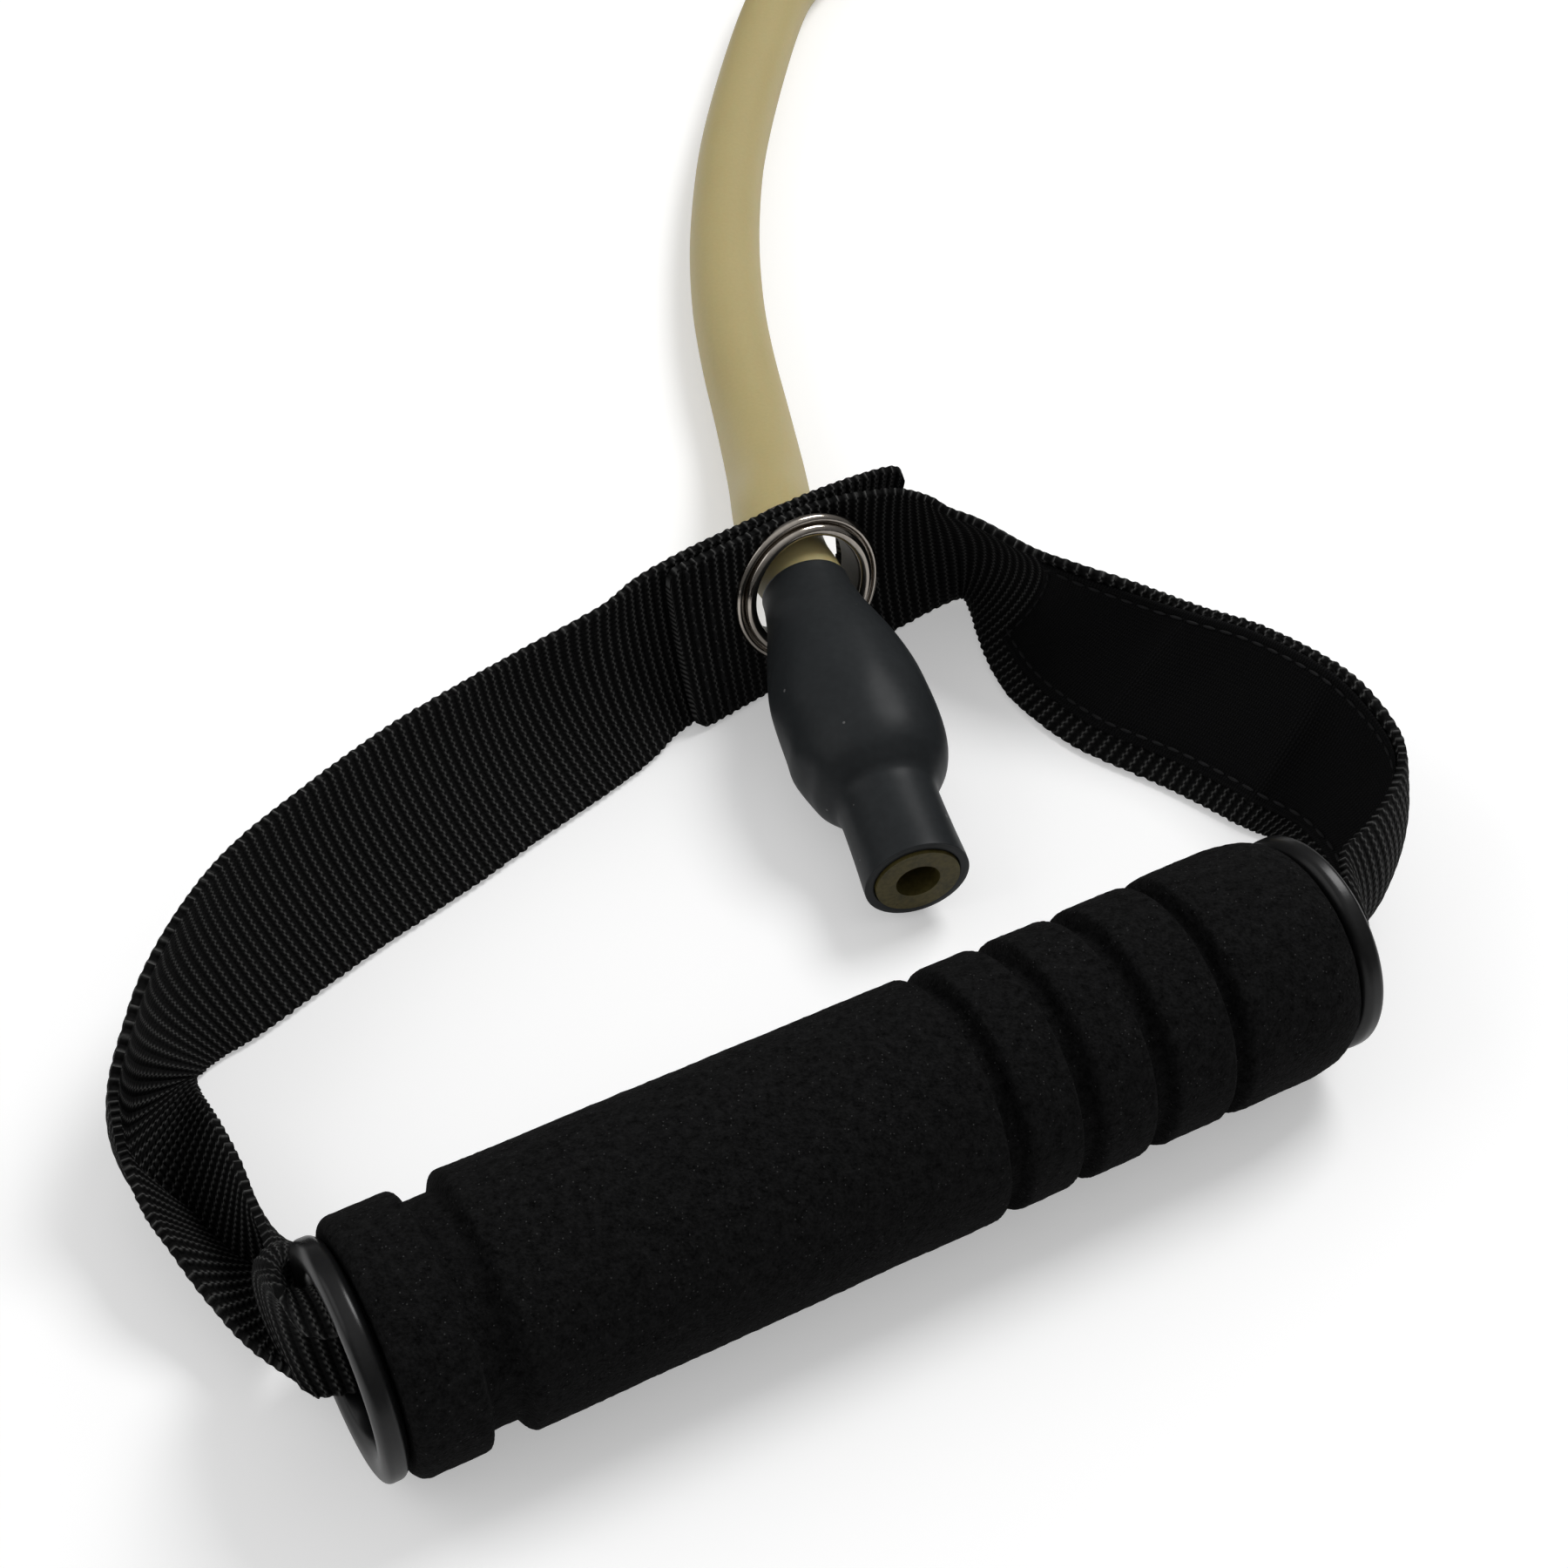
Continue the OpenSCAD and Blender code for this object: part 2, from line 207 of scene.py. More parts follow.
def make_piece(name: str, points: np.ndarray, faces: list, uv: np.ndarray | None = None,
               smooth: bool = True) -> bpy.types.Object:
    """Make an object from points in metres.

    Args:
        name: name of the piece.
        points: array of shape (n, 3).
        faces: lists of point numbers.
        uv: a pair for each point, or None.
        smooth: whether faces are shaded smooth.

    Returns:
        The object, linked to the scene.
    """
    mesh = bpy.data.meshes.new(name)
    mesh.from_pydata(points.tolist(), [], faces)
    if uv is not None:
        layer = mesh.uv_layers.new(name="UVMap")
        index = np.empty(len(mesh.loops), int)
        mesh.loops.foreach_get("vertex_index", index)
        layer.data.foreach_set("uv", uv[index].astype(np.float32).ravel())
    mesh.polygons.foreach_set("use_smooth", [smooth] * len(mesh.polygons))
    mesh.update()
    return add_object(name, mesh)


def ring_faces(rings: int, count: int) -> list[list[int]]:
    """Join closed rings of points, the last to the first.

    Args:
        rings: number of rings.
        count: points on each ring.

    Returns:
        Faces with four point numbers each.
    """
    faces = []
    for i in range(rings):
        here, there = i * count, (i + 1) % rings * count
        for j in range(count):
            k = (j + 1) % count
            faces.append([here + j, here + k, there + k, there + j])
    return faces


def lathe(name: str, outline: np.ndarray, axis: np.ndarray, side: Side, segments: int = 128,
          wobble: Callable[[Vector], float] | None = None) -> bpy.types.Object:
    """Turn a closed outline about an axis.

    Args:
        name: name of the piece.
        outline: closed outline of (radius, height) points in millimetres.
        axis: 4 x 4 matrix of the axis in handle coordinates.
        side: the handle the piece belongs to.
        segments: steps round the axis.
        wobble: outward shift in millimetres at a local point, or None.

    Returns:
        The turned piece.
    """
    turn = np.linspace(0.0, 2 * math.pi, segments, endpoint=False)
    radius, height = outline[:, 0], outline[:, 1]
    local = np.stack([np.outer(np.cos(turn), radius), np.outer(np.sin(turn), radius),
                      np.tile(height, (segments, 1))], axis=2)
    if wobble is not None:
        shift = np.array([[wobble(Vector(p)) for p in row] for row in local])
        scale = 1.0 + shift / np.maximum(radius, 1.0)[None, :]
        local[:, :, :2] *= scale[:, :, None]
    points = local.reshape(-1, 3) @ axis[:3, :3].T + axis[:3, 3]
    faces = ring_faces(segments, len(outline))
    if float(np.sum(radius * np.roll(height, -1) - np.roll(radius, -1) * height)) > 0:
        faces = [[a, d, c, b] for a, b, c, d in faces]
    return make_piece(name, side.place(points), faces)


# ---- strap shape

def bore_station(x: float, turn: float, shift: float = 0.0) -> tuple:
    """Return a strap station inside the grip.

    Args:
        x: place along the grip.
        turn: turn of the strap about the grip's axis, degrees.
        shift: shift along Y, millimetres.

    Returns:
        The station, like a row of STATIONS.
    """
    c, s = math.cos(math.radians(turn)), math.sin(math.radians(turn))
    return ((x, shift - BORE_LINE * c, GRIP_HEIGHT - BORE_LINE * s),
            (x, shift + BORE_LINE * c, GRIP_HEIGHT + BORE_LINE * s), (0, -s, c), 0)


# Lower edge, upper edge, way the middle bulges, and how sharply the middle is creased.
STATIONS = [
    ((22, 84.5, 0.5), (20.5, 90.1, 25.7), (0, 1, 0), 0),
    ((34, 87, 0.5), (33.5, 91.7, 26), (0, 1, 0), 0),
    ((46, 89, 0.5), (45.5, 93.5, 26), (0, 1, 0), 0),
    ((58, 90.5, 0.5), (56.5, 91.2, 25.8), (0.1, 1, 0), 0),
    ((66, 92, 0.5), (60.7, 88, 25.3), (0.5, 0.8, 0), 0),
    ((70.5, 92, 0.5), (62.8, 85.5, 24), (0.9, 0.4, 0), 0),
    ((70, 88.5, 0.5), (65.3, 81.9, 23.4), (1, 0, 0), 0),
    ((67.5, 82, 0.5), (68.8, 74.6, 22.6), (1, 0, 0), 0),
    ((65.5, 75, 0.5), (72.5, 68.6, 22.5), (1, 0, 0), 0),
    ((64.8, 67.6, 0.5), (78.5, 62.5, 21.2), (1, 0, 0), 0),
    ((67.2, 55.9, 0.5), (84.1, 55.7, 20.2), (1, 0, 0), 0),
    ((73.6, 43.2, 0.5), (90, 46.4, 20.4), (1, 0, 0), 0),
    ((78.2, 32.2, 0.5), (92.7, 33, 22), (1, 0, 0), 0),
    ((81, 26.4, 0.5), (90.7, 19.5, 22.5), (1, -0.3, 0), 0),
    ((80.2, 19.5, 1), (85.9, 13, 22.5), (0.7, -0.7, 0), 0),
    ((76, 13.8, 2), (77.9, 7.8, 22.8), (0.3, -1, 0), 0),
    ((70.8, 9.8, 3.5), (71, 5, 23), (0, -1, 0), 0),
    *[bore_station(65 - 16.25 * i, 105 + 22.4 * i, 0.8 * (i == 0)) for i in range(9)],
    ((-66.3, 7.8, 20.4), (-67, 5.2, 7), (-0.1, 0.95, -0.1), 0),
    ((-65.8, 14.5, 16.8), (-70.5, 12.5, 7), (0.5, 0.3, -0.8), 0.4),
    ((-64.6, 21, 14.3), (-72.7, 20.5, 8.2), (0.2, 0.1, -0.95), 0.8),
    ((-64.2, 26.8, 13.8), (-74.2, 26.8, 11), (0, 0, -1), 1),
    ((-63.7, 33, 12.9), (-75, 31.5, 11.8), (0, 0, -1), 1),
    ((-63.6, 41, 11.5), (-75, 38, 13), (0, 0, -1), 1),
    ((-63, 50.5, 5.5), (-74.4, 41.8, 15.5), (-0.3, 0, -0.9), 0.7),
    ((-62, 57, 0.8), (-73, 45.8, 18.3), (-0.7, 0.1, -0.7), 0.4),
    ((-60.5, 58.5, 0.5), (-69.7, 49.3, 21.8), (-0.8, 0.5, -0.2), 0.1),
    ((-57.5, 59.5, 0.5), (-64.8, 55.3, 23.8), (-0.6, 0.8, 0), 0),
    ((-52, 60.7, 0.5), (-58, 62.3, 24.5), (-0.3, 1, 0), 0),
    ((-42.5, 64, 0.5), (-49.3, 69.6, 24), (-0.3, 1, 0), 0),
    ((-32, 67.5, 0.5), (-38, 75.6, 23.5), (-0.3, 1, 0), 0),
    ((-18.5, 71.5, 0.5), (-24.5, 81.6, 23), (-0.3, 1, 0), 0),
    ((-8, 75, 0.5), (-13, 84.7, 23.2), (-0.3, 1, 0), 0),
    ((4.5, 78.9, 0.5), (-1.2, 87.7, 23), (-0.3, 1, 0), 0),
    ((13, 82, 0.5), (10.5, 89.4, 24), (-0.2, 1, 0), 0),
    ((19, 85.4, 0.5), (17, 91.3, 25.2), (0, 1, 0), 0),
    ((26, 87.6, 0.5), (25, 92.9, 25.7), (0, 1, 0), 0),
    ((34, 89.3, 0.5), (33.5, 94, 26), (0, 1, 0), 0),
    ((46, 91.2, 0.5), (45.5, 95.7, 26), (0, 1, 0), 0),
    ((56, 93, 0.5), (55.5, 96.4, 25.6), (0, 1, 0), 0),
    ((63.5, 94.6, 0.8), (61.4, 95.6, 25.6), (0, 1, 0), 0),
]


def station_part(part: int) -> np.ndarray:
    """Return one part of every station, a row each."""
    return np.array([np.atleast_1d(station[part]) for station in STATIONS], float)


@dataclass
class StrapShape:
    """The middle surface of one handle's webbing."""

    width: float = 26.0
    samples: int = 1600
    low: np.ndarray = field(default_factory=lambda: station_part(0))
    high: np.ndarray = field(default_factory=lambda: station_part(1))
    bulge: np.ndarray = field(default_factory=lambda: station_part(2))
    crease: np.ndarray = field(default_factory=lambda: station_part(3))

    def surface(self, u: np.ndarray, f: np.ndarray) -> np.ndarray:
        """Return the middle surface.

        Args:
            u: running station numbers along the strap.
            f: shares of the width, 0 at the lower edge.

        Returns:
            Array of shape (len(u), len(f), 3), millimetres.
        """
        a, b = spline(self.low, u), spline(self.high, u)
        q = np.clip(spline(self.crease, u), 0.0, 1.0)
        i = np.minimum(np.floor(u).astype(int), len(self.bulge) - 2)
        raw = self.bulge[i] + (self.bulge[i + 1] - self.bulge[i]) * (u - i)[:, None]
        chord = np.linalg.norm(b - a, axis=1, keepdims=True)
        c = (b - a) / chord
        out = unit(raw - c * np.sum(raw * c, axis=1, keepdims=True))
        k = np.minimum(chord / self.width, 0.9995)
        half = np.sqrt(10 - np.sqrt(np.maximum(100 - 120 * (1 - k), 0.0)))
        radius = self.width / (2 * half)
        phi = half * (2 * f[None, :] - 1)
        peak = np.sqrt(np.maximum(self.width ** 2 - chord ** 2, 0.0)) / 2
        along = radius * np.sin(phi) * (1 - q) + (f[None, :] - 0.5) * chord * q
        soft = 1 - np.sqrt((2 * f[None, :] - 1) ** 2 + 0.0016)
        rise = radius * (np.cos(phi) - np.cos(half)) * (1 - q) + peak * soft * q
        mid = (a + b) / 2
        return (mid[:, None, :] + c[:, None, :] * along[:, :, None]
                + out[:, None, :] * rise[:, :, None])

    def normals(self, grid: np.ndarray) -> np.ndarray:
        """Return unit normals of a surface grid."""
        du, df = np.gradient(grid, axis=0), np.gradient(grid, axis=1)
        return unit(np.cross(df, du))

    def even(self, pitch: float, start: float = 0.0, stop: float | None = None
             ) -> tuple[np.ndarray, np.ndarray]:
        """Space stations evenly along the webbing.

        Args:
            pitch: wanted spacing in millimetres.
            start: first running station number.
            stop: last running station number, or None for the strap's end.

        Returns:
            The running station numbers and the length along the webbing at each.
        """
        u = np.linspace(start, len(self.low) - 1 if stop is None else stop, self.samples)
        grid = self.surface(u, np.linspace(0.0, 1.0, 5))
        steps = np.linalg.norm(np.diff(grid, axis=0), axis=2).mean(axis=1)
        length = np.concatenate([[0.0], np.cumsum(steps)])
        s = np.linspace(0.0, length[-1], max(int(round(length[-1] / pitch)), 2) + 1)
        return np.interp(s, length, u), s


# ---- finishes

def gray(value: float) -> Color:
    """Return a neutral colour."""
    return (value, value, value)


class Nodes:
    """Shorthand for building a node tree."""

    def __init__(self, tree: bpy.types.NodeTree) -> None:
        """Keep the tree."""
        self.tree = tree

    def add(self, kind: str, **settings: object) -> bpy.types.Node:
        """Add a node.

        Args:
            kind: identifier of the node's type.
            **settings: attributes to set on it.

        Returns:
            The new node.
        """
        node = self.tree.nodes.new(kind)
        for key, value in settings.items():
            setattr(node, key, value)
        return node

    def wire(self, *rows: tuple[bpy.types.Node, int | str, object]) -> None:
        """Fill inputs of nodes.

        Args:
            *rows: a node, its input, and a number, a colour, a socket or a node's first output.
        """
        for node, label, value in rows:
            if isinstance(value, bpy.types.Node):
                value = value.outputs[0]
            if isinstance(value, bpy.types.NodeSocket):
                self.tree.links.new(value, node.inputs[label])
            else:
                node.inputs[label].default_value = (*value, 1.0) if isinstance(value, tuple) else value

    def math(self, kind: str, *values: object, clamp: bool = False) -> bpy.types.NodeSocket:
        """Add a maths node.

        Args:
            kind: the operation.
            *values: up to three sockets or numbers.
            clamp: whether the result is held between 0 and 1.

        Returns:
            The result socket.
        """
        node = self.add("ShaderNodeMath", operation=kind, use_clamp=clamp)
        self.wire(*((node, k, value) for k, value in enumerate(values)))
        return node.outputs[0]

    def mix(self, share: bpy.types.NodeSocket, low: object, high: object) -> bpy.types.NodeSocket:
        """Mix two colours.

        Args:
            share: how much of the second colour.
            low: first colour or socket.
            high: second colour or socket.

        Returns:
            The colour socket.
        """
        node = self.add("ShaderNodeMix", data_type="RGBA")
        self.wire((node, "Factor", share), (node, 6, low), (node, 7, high))
        return node.outputs[2]

    def group(self, tree: bpy.types.NodeTree, values: dict[str, float]) -> bpy.types.Node:
        """Place a shared group with values of its own.

        Args:
            tree: the group.
            values: value of each named input.

        Returns:
            The new node.
        """
        node = self.add("ShaderNodeGroup", node_tree=tree)
        self.wire(*((node, label, value) for label, value in values.items()))
        return node


def new_group(name: str, inputs: Sequence[str], outputs: Sequence[str],
              kind: str = "ShaderNodeTree") -> tuple[Nodes, bpy.types.Node, bpy.types.Node]:
    """Start a node group with named sockets for numbers.

    Args:
        name: name of the group.
        inputs: names of the numbers that go in.
        outputs: names of the numbers that come out.
        kind: type of the group; a geometry group gets its geometry sockets too.

    Returns:
        The tree's builder, its input node and its output node.
    """
    tree = bpy.data.node_groups.new(name, kind)
    for labels, way in ((inputs, "INPUT"), (outputs, "OUTPUT")):
        if kind == "GeometryNodeTree":
            tree.interface.new_socket("Geometry", in_out=way, socket_type="NodeSocketGeometry")
        for label in labels:
            tree.interface.new_socket(label, in_out=way, socket_type="NodeSocketFloat")
    n = Nodes(tree)
    return n, n.add("NodeGroupInput"), n.add("NodeGroupOutput")


SPECK_RADIUS = 0.22  # as a share of a speck's cell
CONTRAST = 2.6  # between a finish's two colours


@cache
def grain_group() -> bpy.types.NodeTree:
    """Return the shared group that gives fine grain, blotches and specks of dust."""
    n, given, given_out = new_group("fine_grain", ("Grain", "Blotch", "Specks", "Speck Share"),
                                    ("Fine", "Broad", "Dust"))
    place = n.add("ShaderNodeTexCoord").outputs["Object"]
    for label, target, detail in (("Grain", "Fine", 3.0), ("Blotch", "Broad", 2.0)):
        tex = n.add("ShaderNodeTexNoise")
        n.wire((tex, "Detail", detail), (tex, "Vector", place), (tex, "Scale", given.outputs[label]),
               (given_out, target, tex.outputs["Fac"]))
    dots, pick = n.add("ShaderNodeTexVoronoi", feature="F1"), n.add("ShaderNodeSeparateColor")
    n.wire((dots, "Vector", place), (dots, "Scale", given.outputs["Specks"]),
           (pick, 0, dots.outputs["Color"]))
    near = n.math("LESS_THAN", dots.outputs["Distance"], SPECK_RADIUS)
    chosen = n.math("LESS_THAN", pick.outputs[0], given.outputs["Speck Share"])
    n.wire((given_out, "Dust", n.math("MULTIPLY", near, chosen)))
    return n.tree


@cache
def weave_group() -> bpy.types.NodeTree:
    """Return the shared group that draws crossing threads on a UV map in millimetres."""
    n, given, given_out = new_group("crossing_threads", ("Row Pitch", "Thread Pitch", "Slant"),
                                    ("Row", "Thread", "Height"))
    split = n.add("ShaderNodeSeparateXYZ")
    n.wire((split, 0, n.add("ShaderNodeUVMap", uv_map="UVMap")))
    rows = n.math("DIVIDE", split.outputs["X"], given.outputs["Row Pitch"])
    lean = n.math("MULTIPLY", rows, given.outputs["Slant"])
    cross = n.math("ADD", n.math("DIVIDE", split.outputs["Y"], given.outputs["Thread Pitch"]), lean)
    row = n.math("ABSOLUTE", n.math("COSINE", n.math("MULTIPLY", rows, math.pi)))
    half = n.math("MULTIPLY", n.math("FLOOR", rows), 0.5)
    thread = n.math("ABSOLUTE", n.math("SINE", n.math("MULTIPLY", n.math("ADD", cross, half), math.pi)))
    n.wire((given_out, "Row", row), (given_out, "Thread", thread),
           (given_out, "Height", n.math("MULTIPLY", row, thread)))
    return n.tree


@dataclass(frozen=True)
class Finish:
    """A plain moulded or foamed finish with grain, blotches and specks."""

    name: str
    base: Color
    light: Color
    roughness: float = 0.5
    grain: float = 3000.0
    blotch: float = 60.0
    specks: float = 800.0
    speck_share: float = 0.0
    speck_color: Color = gray(0.12)
    bump: float = 0.2
    depth: float = 0.0001
    specular: float = 0.5
    metallic: float = 0.0
    subsurface: float = 0.0
    subsurface_scale: float = 0.002
    rough_spread: float = 0.08

    def surface(self, n: Nodes) -> tuple:
        """Build what changes over the surface.

        Args:
            n: builder of the material's tree.

        Returns:
            The colour, roughness and height sockets.
        """
        group = n.group(grain_group(), {"Grain": self.grain, "Blotch": self.blotch,
                                        "Specks": self.specks, "Speck Share": self.speck_share})
        fine, broad, dust = (group.outputs[k] for k in ("Fine", "Broad", "Dust"))
        both = n.math("MULTIPLY_ADD", fine, 0.5, n.math("MULTIPLY", broad, 0.5))
        spread = n.math("MULTIPLY_ADD", n.math("SUBTRACT", both, 0.5), CONTRAST, 0.5, clamp=True)
        color = n.mix(spread, self.base, self.light)
        if self.speck_share > 0:
            color = n.mix(dust, color, self.speck_color)
        rough = n.math("MULTIPLY_ADD", broad, self.rough_spread * 2, self.roughness - self.rough_spread)
        return color, rough, fine

    @cache
    def build(self) -> bpy.types.Material:
        """Return the material, made once."""
        material = bpy.data.materials.new(f"finish_{self.name}")
        material.use_nodes = True
        n = Nodes(material.node_tree)
        shader = material.node_tree.nodes["Principled BSDF"]
        color, rough, height = self.surface(n)
        bump = n.add("ShaderNodeBump")
        n.wire((bump, "Strength", self.bump), (bump, "Distance", self.depth), (bump, "Height", height),
               (shader, "Base Color", color), (shader, "Roughness", rough), (shader, "Normal", bump),
               (shader, "Metallic", self.metallic), (shader, "Specular IOR Level", self.specular),
               (shader, "Subsurface Weight", self.subsurface),
               (shader, "Subsurface Scale", self.subsurface_scale))
        material.diffuse_color = (*self.base, 1.0)
        return material


@dataclass(frozen=True)
class WovenFinish(Finish):
    """A finish of crossing threads, with a painted sheen on the thread crests."""

    row_pitch: float = 1.5
    thread_pitch: float = 0.95
    slant: float = 0.35
    # colour of the painted sheen on the thread crests
    thread: Color = (0.085, 0.085, 0.083)
    sheen_share: float = 1.0
    row_power: float = 8.0
    thread_power: float = 2.5

    def surface(self, n: Nodes) -> tuple:
        """Lay the weave over the plain finish, and paint a sheen of lighter colour on the thread crests.

        Args:
            n: builder of the material's tree.

        Returns:
            The colour, roughness and height sockets.
        """
        color, rough, fine = super().surface(n)
        weave = n.group(weave_group(), {"Row Pitch": self.row_pitch, "Slant": self.slant,
                                        "Thread Pitch": self.thread_pitch})
        # painted sheen: the thread crests are mixed towards the lighter thread colour
        sheen_crest = n.math("POWER", weave.outputs["Row"], self.row_power)
        across = n.math("POWER", weave.outputs["Thread"], self.thread_power)
        sharp = n.math("MULTIPLY", sheen_crest, across)
        share = n.math("MULTIPLY", n.math("MULTIPLY", sharp, self.sheen_share),
                       n.math("MULTIPLY_ADD", fine, 1.4, 0.3))
        color = n.mix(n.math("MINIMUM", share, 1.0), color, self.thread)
        height = n.math("MULTIPLY_ADD", fine, 0.25, weave.outputs["Height"])
        return color, rough, height


class Kit:
    """The finishes of the band."""

    latex = Finish("latex", (0.42, 0.345, 0.155), (0.46, 0.38, 0.175), 0.5, grain=1800, blotch=35,
                   bump=0.12, subsurface=0.15, specular=0.4)
    # darker than the latex: painted shade on the tube's end face
    cut = Finish("latex_end_painted_shade", (0.045, 0.037, 0.01), (0.12, 0.098, 0.032), 0.45, grain=1500, blotch=260,
                 bump=0.3, specular=0.15)
    sleeve = Finish("sleeve_rubber", (0.0165, 0.0182, 0.0195), (0.0225, 0.025, 0.0268), 0.42,
                    grain=900, blotch=50, specks=900, speck_share=0.02, bump=0.12,
                    specular=0.13)
    foam = Finish("foam", gray(0.0008), (0.0115, 0.0115, 0.0117), 0.92, grain=2600, blotch=900,
                  specks=2600, speck_share=0.1, speck_color=gray(0.042), bump=1.0,
                  depth=0.0003, specular=0.06)
    ring = Finish("ring_plastic", (0.004, 0.004, 0.0042), (0.008, 0.008, 0.0084), 0.3,
                  grain=1500, blotch=80, bump=0.05, specular=0.3)
    nickel = Finish("nickel", (0.36, 0.325, 0.285), (0.47, 0.43, 0.385), 0.14, grain=1500, blotch=120,
                    bump=0.04, metallic=1.0)
    # dark and not metallic: painted shade inside the eyelet's barrel, in place of the nickel's reflections
    shaded = Finish("nickel_barrel_painted_shade", (0.02, 0.017, 0.013), (0.035, 0.03, 0.023), 0.5, grain=1500,
                    blotch=120, bump=0.04, specular=0.3)
    core = Finish("core_plastic", (0.16, 0.165, 0.17), (0.2, 0.205, 0.21), 0.55)
    thread = Finish("sewing_thread", (0.005, 0.005, 0.0052), (0.014, 0.014, 0.0145), 0.75, grain=6000,
                    bump=0.5, specular=0.15)
    tie = Finish("tie_rubber", gray(0.01), gray(0.018), 0.6, grain=2500, bump=0.3)
    # the lighter thread colours of the webbing and the label are painted sheen on the thread crests
    webbing = WovenFinish("webbing", gray(0.0012), gray(0.003), 0.72, grain=5000,
                          blotch=70, bump=0.9, depth=0.0003, specular=0.08)
    satin = WovenFinish("label_satin", (0.0008, 0.0008, 0.0009), (0.0018, 0.0018, 0.0019), 0.6,
                        grain=5000, blotch=90, bump=0.5, depth=0.00012, specular=0.05,
                        row_pitch=0.4, thread_pitch=0.6, slant=0.5, thread=(0.013, 0.013, 0.0135),
                        sheen_share=0.7, row_power=2.0)


def dress(piece: bpy.types.Object, finish: Finish, slot: str, body: str, *nodes: str) -> None:
    """Give a piece its finish, its body and the CAD nodes it stands for.

    Args:
        piece: the piece.
        finish: its finish.
        slot: not used.
        body: the body it rides on.
        *nodes: CAD nodes it replaces.
    """
    piece.data.materials.clear()
    piece.data.materials.append(finish.build())
    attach(piece, body)
    if nodes:
        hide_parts(*nodes)
    LOG.info("%s: %d faces", piece.name, len(getattr(piece.data, "polygons", ())))


def refinish(node: str, finish: Finish) -> None:
    """Give a CAD node that stays its finish."""
    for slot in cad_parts[node].material_slots:
        slot.material = finish.build()


# ---- tube

@dataclass
class Tube:
    """The rubber tube from eyelet to eyelet, its coil and its tie."""

    diameter: float = 12.0
    swell: float = 0.04
    ring_points: int = 8
    line_steps: int = 6
    inside_sleeve: float = 3.0
    coil_centre: tuple[float, float] = (-18.5, 97.0)
    coil_start: float = -45.0
    coil_stop: float = 750.0
    coil_step: float = 15.0
    lower_radius: float = 63.5
    lower_shrink: float = 12.5
    upper_start: float = 345.0
    upper_radius: float = 51.5
    upper_limit: float = 57.5
    climb_start: float = 315.0
    climb_turn: float = 110.0
    climb: float = 11.8
    rest_height: float = 6.1
    near: tuple = ((3.6, -185, 15.1), (1.6, -180.3, 15.3), (-0.2, -170, 14), (-1.4, -154, 9.4),
                   (-3.6, -135, 6.1), (-6.4, -117, 6.1), (-8.4, -99, 6.1), (-9.2, -77, 6.1),
                   (-8.2, -51, 6.1), (-4.6, -20, 6.1), (0, 7, 6.1), (5.6, 23, 6.1), (14, 37.5, 6.1))
    far: tuple = ((20, 146, 16.6), (8.6, 166.6, 15.4), (3, 174.6, 15.2), (-1.6, 180.3, 15.3),
                  (-3.6, 185, 15.1))

    def coil(self) -> list[Point]:
        """Return points of the coil: a turn on the floor, then one that lies on it."""
        out = []
        for turn in np.arange(self.coil_start, self.coil_stop + 1, self.coil_step):
            r = self.lower_radius - self.lower_shrink * turn / 360
            if turn >= self.upper_start:
                r = min(self.upper_limit, self.upper_radius + 6.0 * (turn - self.upper_start) / 120)
            t = min(max((turn - self.climb_start) / self.climb_turn, 0.0), 1.0)
            z = self.rest_height + self.climb * t * t * (3 - 2 * t)
            a = math.radians(turn)
            out.append((self.coil_centre[0] + r * math.cos(a), self.coil_centre[1] + r * math.sin(a), z))
        return out

    def route(self) -> np.ndarray:
        """Return the whole route in millimetres."""
        end = (SLEEVE_START + unit(SLEEVE_TIP - SLEEVE_START) * self.inside_sleeve)[None, :]
        first, last = (side.place(end)[0] / MM for side in Side)
        return np.array([first, *self.near, *self.coil(), *self.far, last])

    def build(self) -> None:
        """Make the tube and its tie."""
        route = self.route()
        u = np.linspace(0, len(route) - 1, self.line_steps * (len(route) - 1) + 1)
        line = spline(route, u) * MM
        curve = bpy.data.curves.new("tube", "CURVE")
        curve.dimensions = "3D"
        curve.bevel_depth = (self.diameter / 2 + self.swell) * MM
        curve.bevel_resolution = self.ring_points
        curve.use_fill_caps = True
        path = curve.splines.new("POLY")
        path.points.add(len(line) - 1)
        for point, place in zip(path.points, line):
            point.co = (*place, 1.0)
        path.use_smooth = True
        tube = add_object("tube", curve)
        dress(tube, Kit.latex, "latex", "tube", "tube_run_a", "tube_coil", "tube_run_b")
        LOG.info("tube length %.3f m", np.linalg.norm(np.diff(line, axis=0), axis=1).sum())
        tie = self.tie()
        dress(tie, Kit.tie, "tie", "tube", "coil_tie")
        tuple(Side.A.place(SLEEVE_START[None, :])[0])

    def tie(self) -> bpy.types.Object:
        """Return the flat band round two turns of the coil."""
        centre = np.array([self.coil_centre[0] - 56.55, self.coil_centre[1], 12.35])
        half_x, half_z, corner, wall, half_width, steps = 7.75, 12.45, 5.5, 0.8, 3.5, 64
        section = ((0, -half_width), (0, half_width), (wall, half_width), (wall, -half_width))
        points = []
        for k in range(steps):
            a = 2 * math.pi * k / steps
            c, s = math.cos(a), math.sin(a)
            x = math.copysign(half_x - corner, c) + corner * c
            z = math.copysign(half_z - corner, s) + corner * s
            points += [centre + (x - c * depth, y, z - s * depth) for depth, y in section]
        return make_piece("tie", np.array(points) * MM, ring_faces(steps, len(section)), smooth=False)


# ---- handle pieces

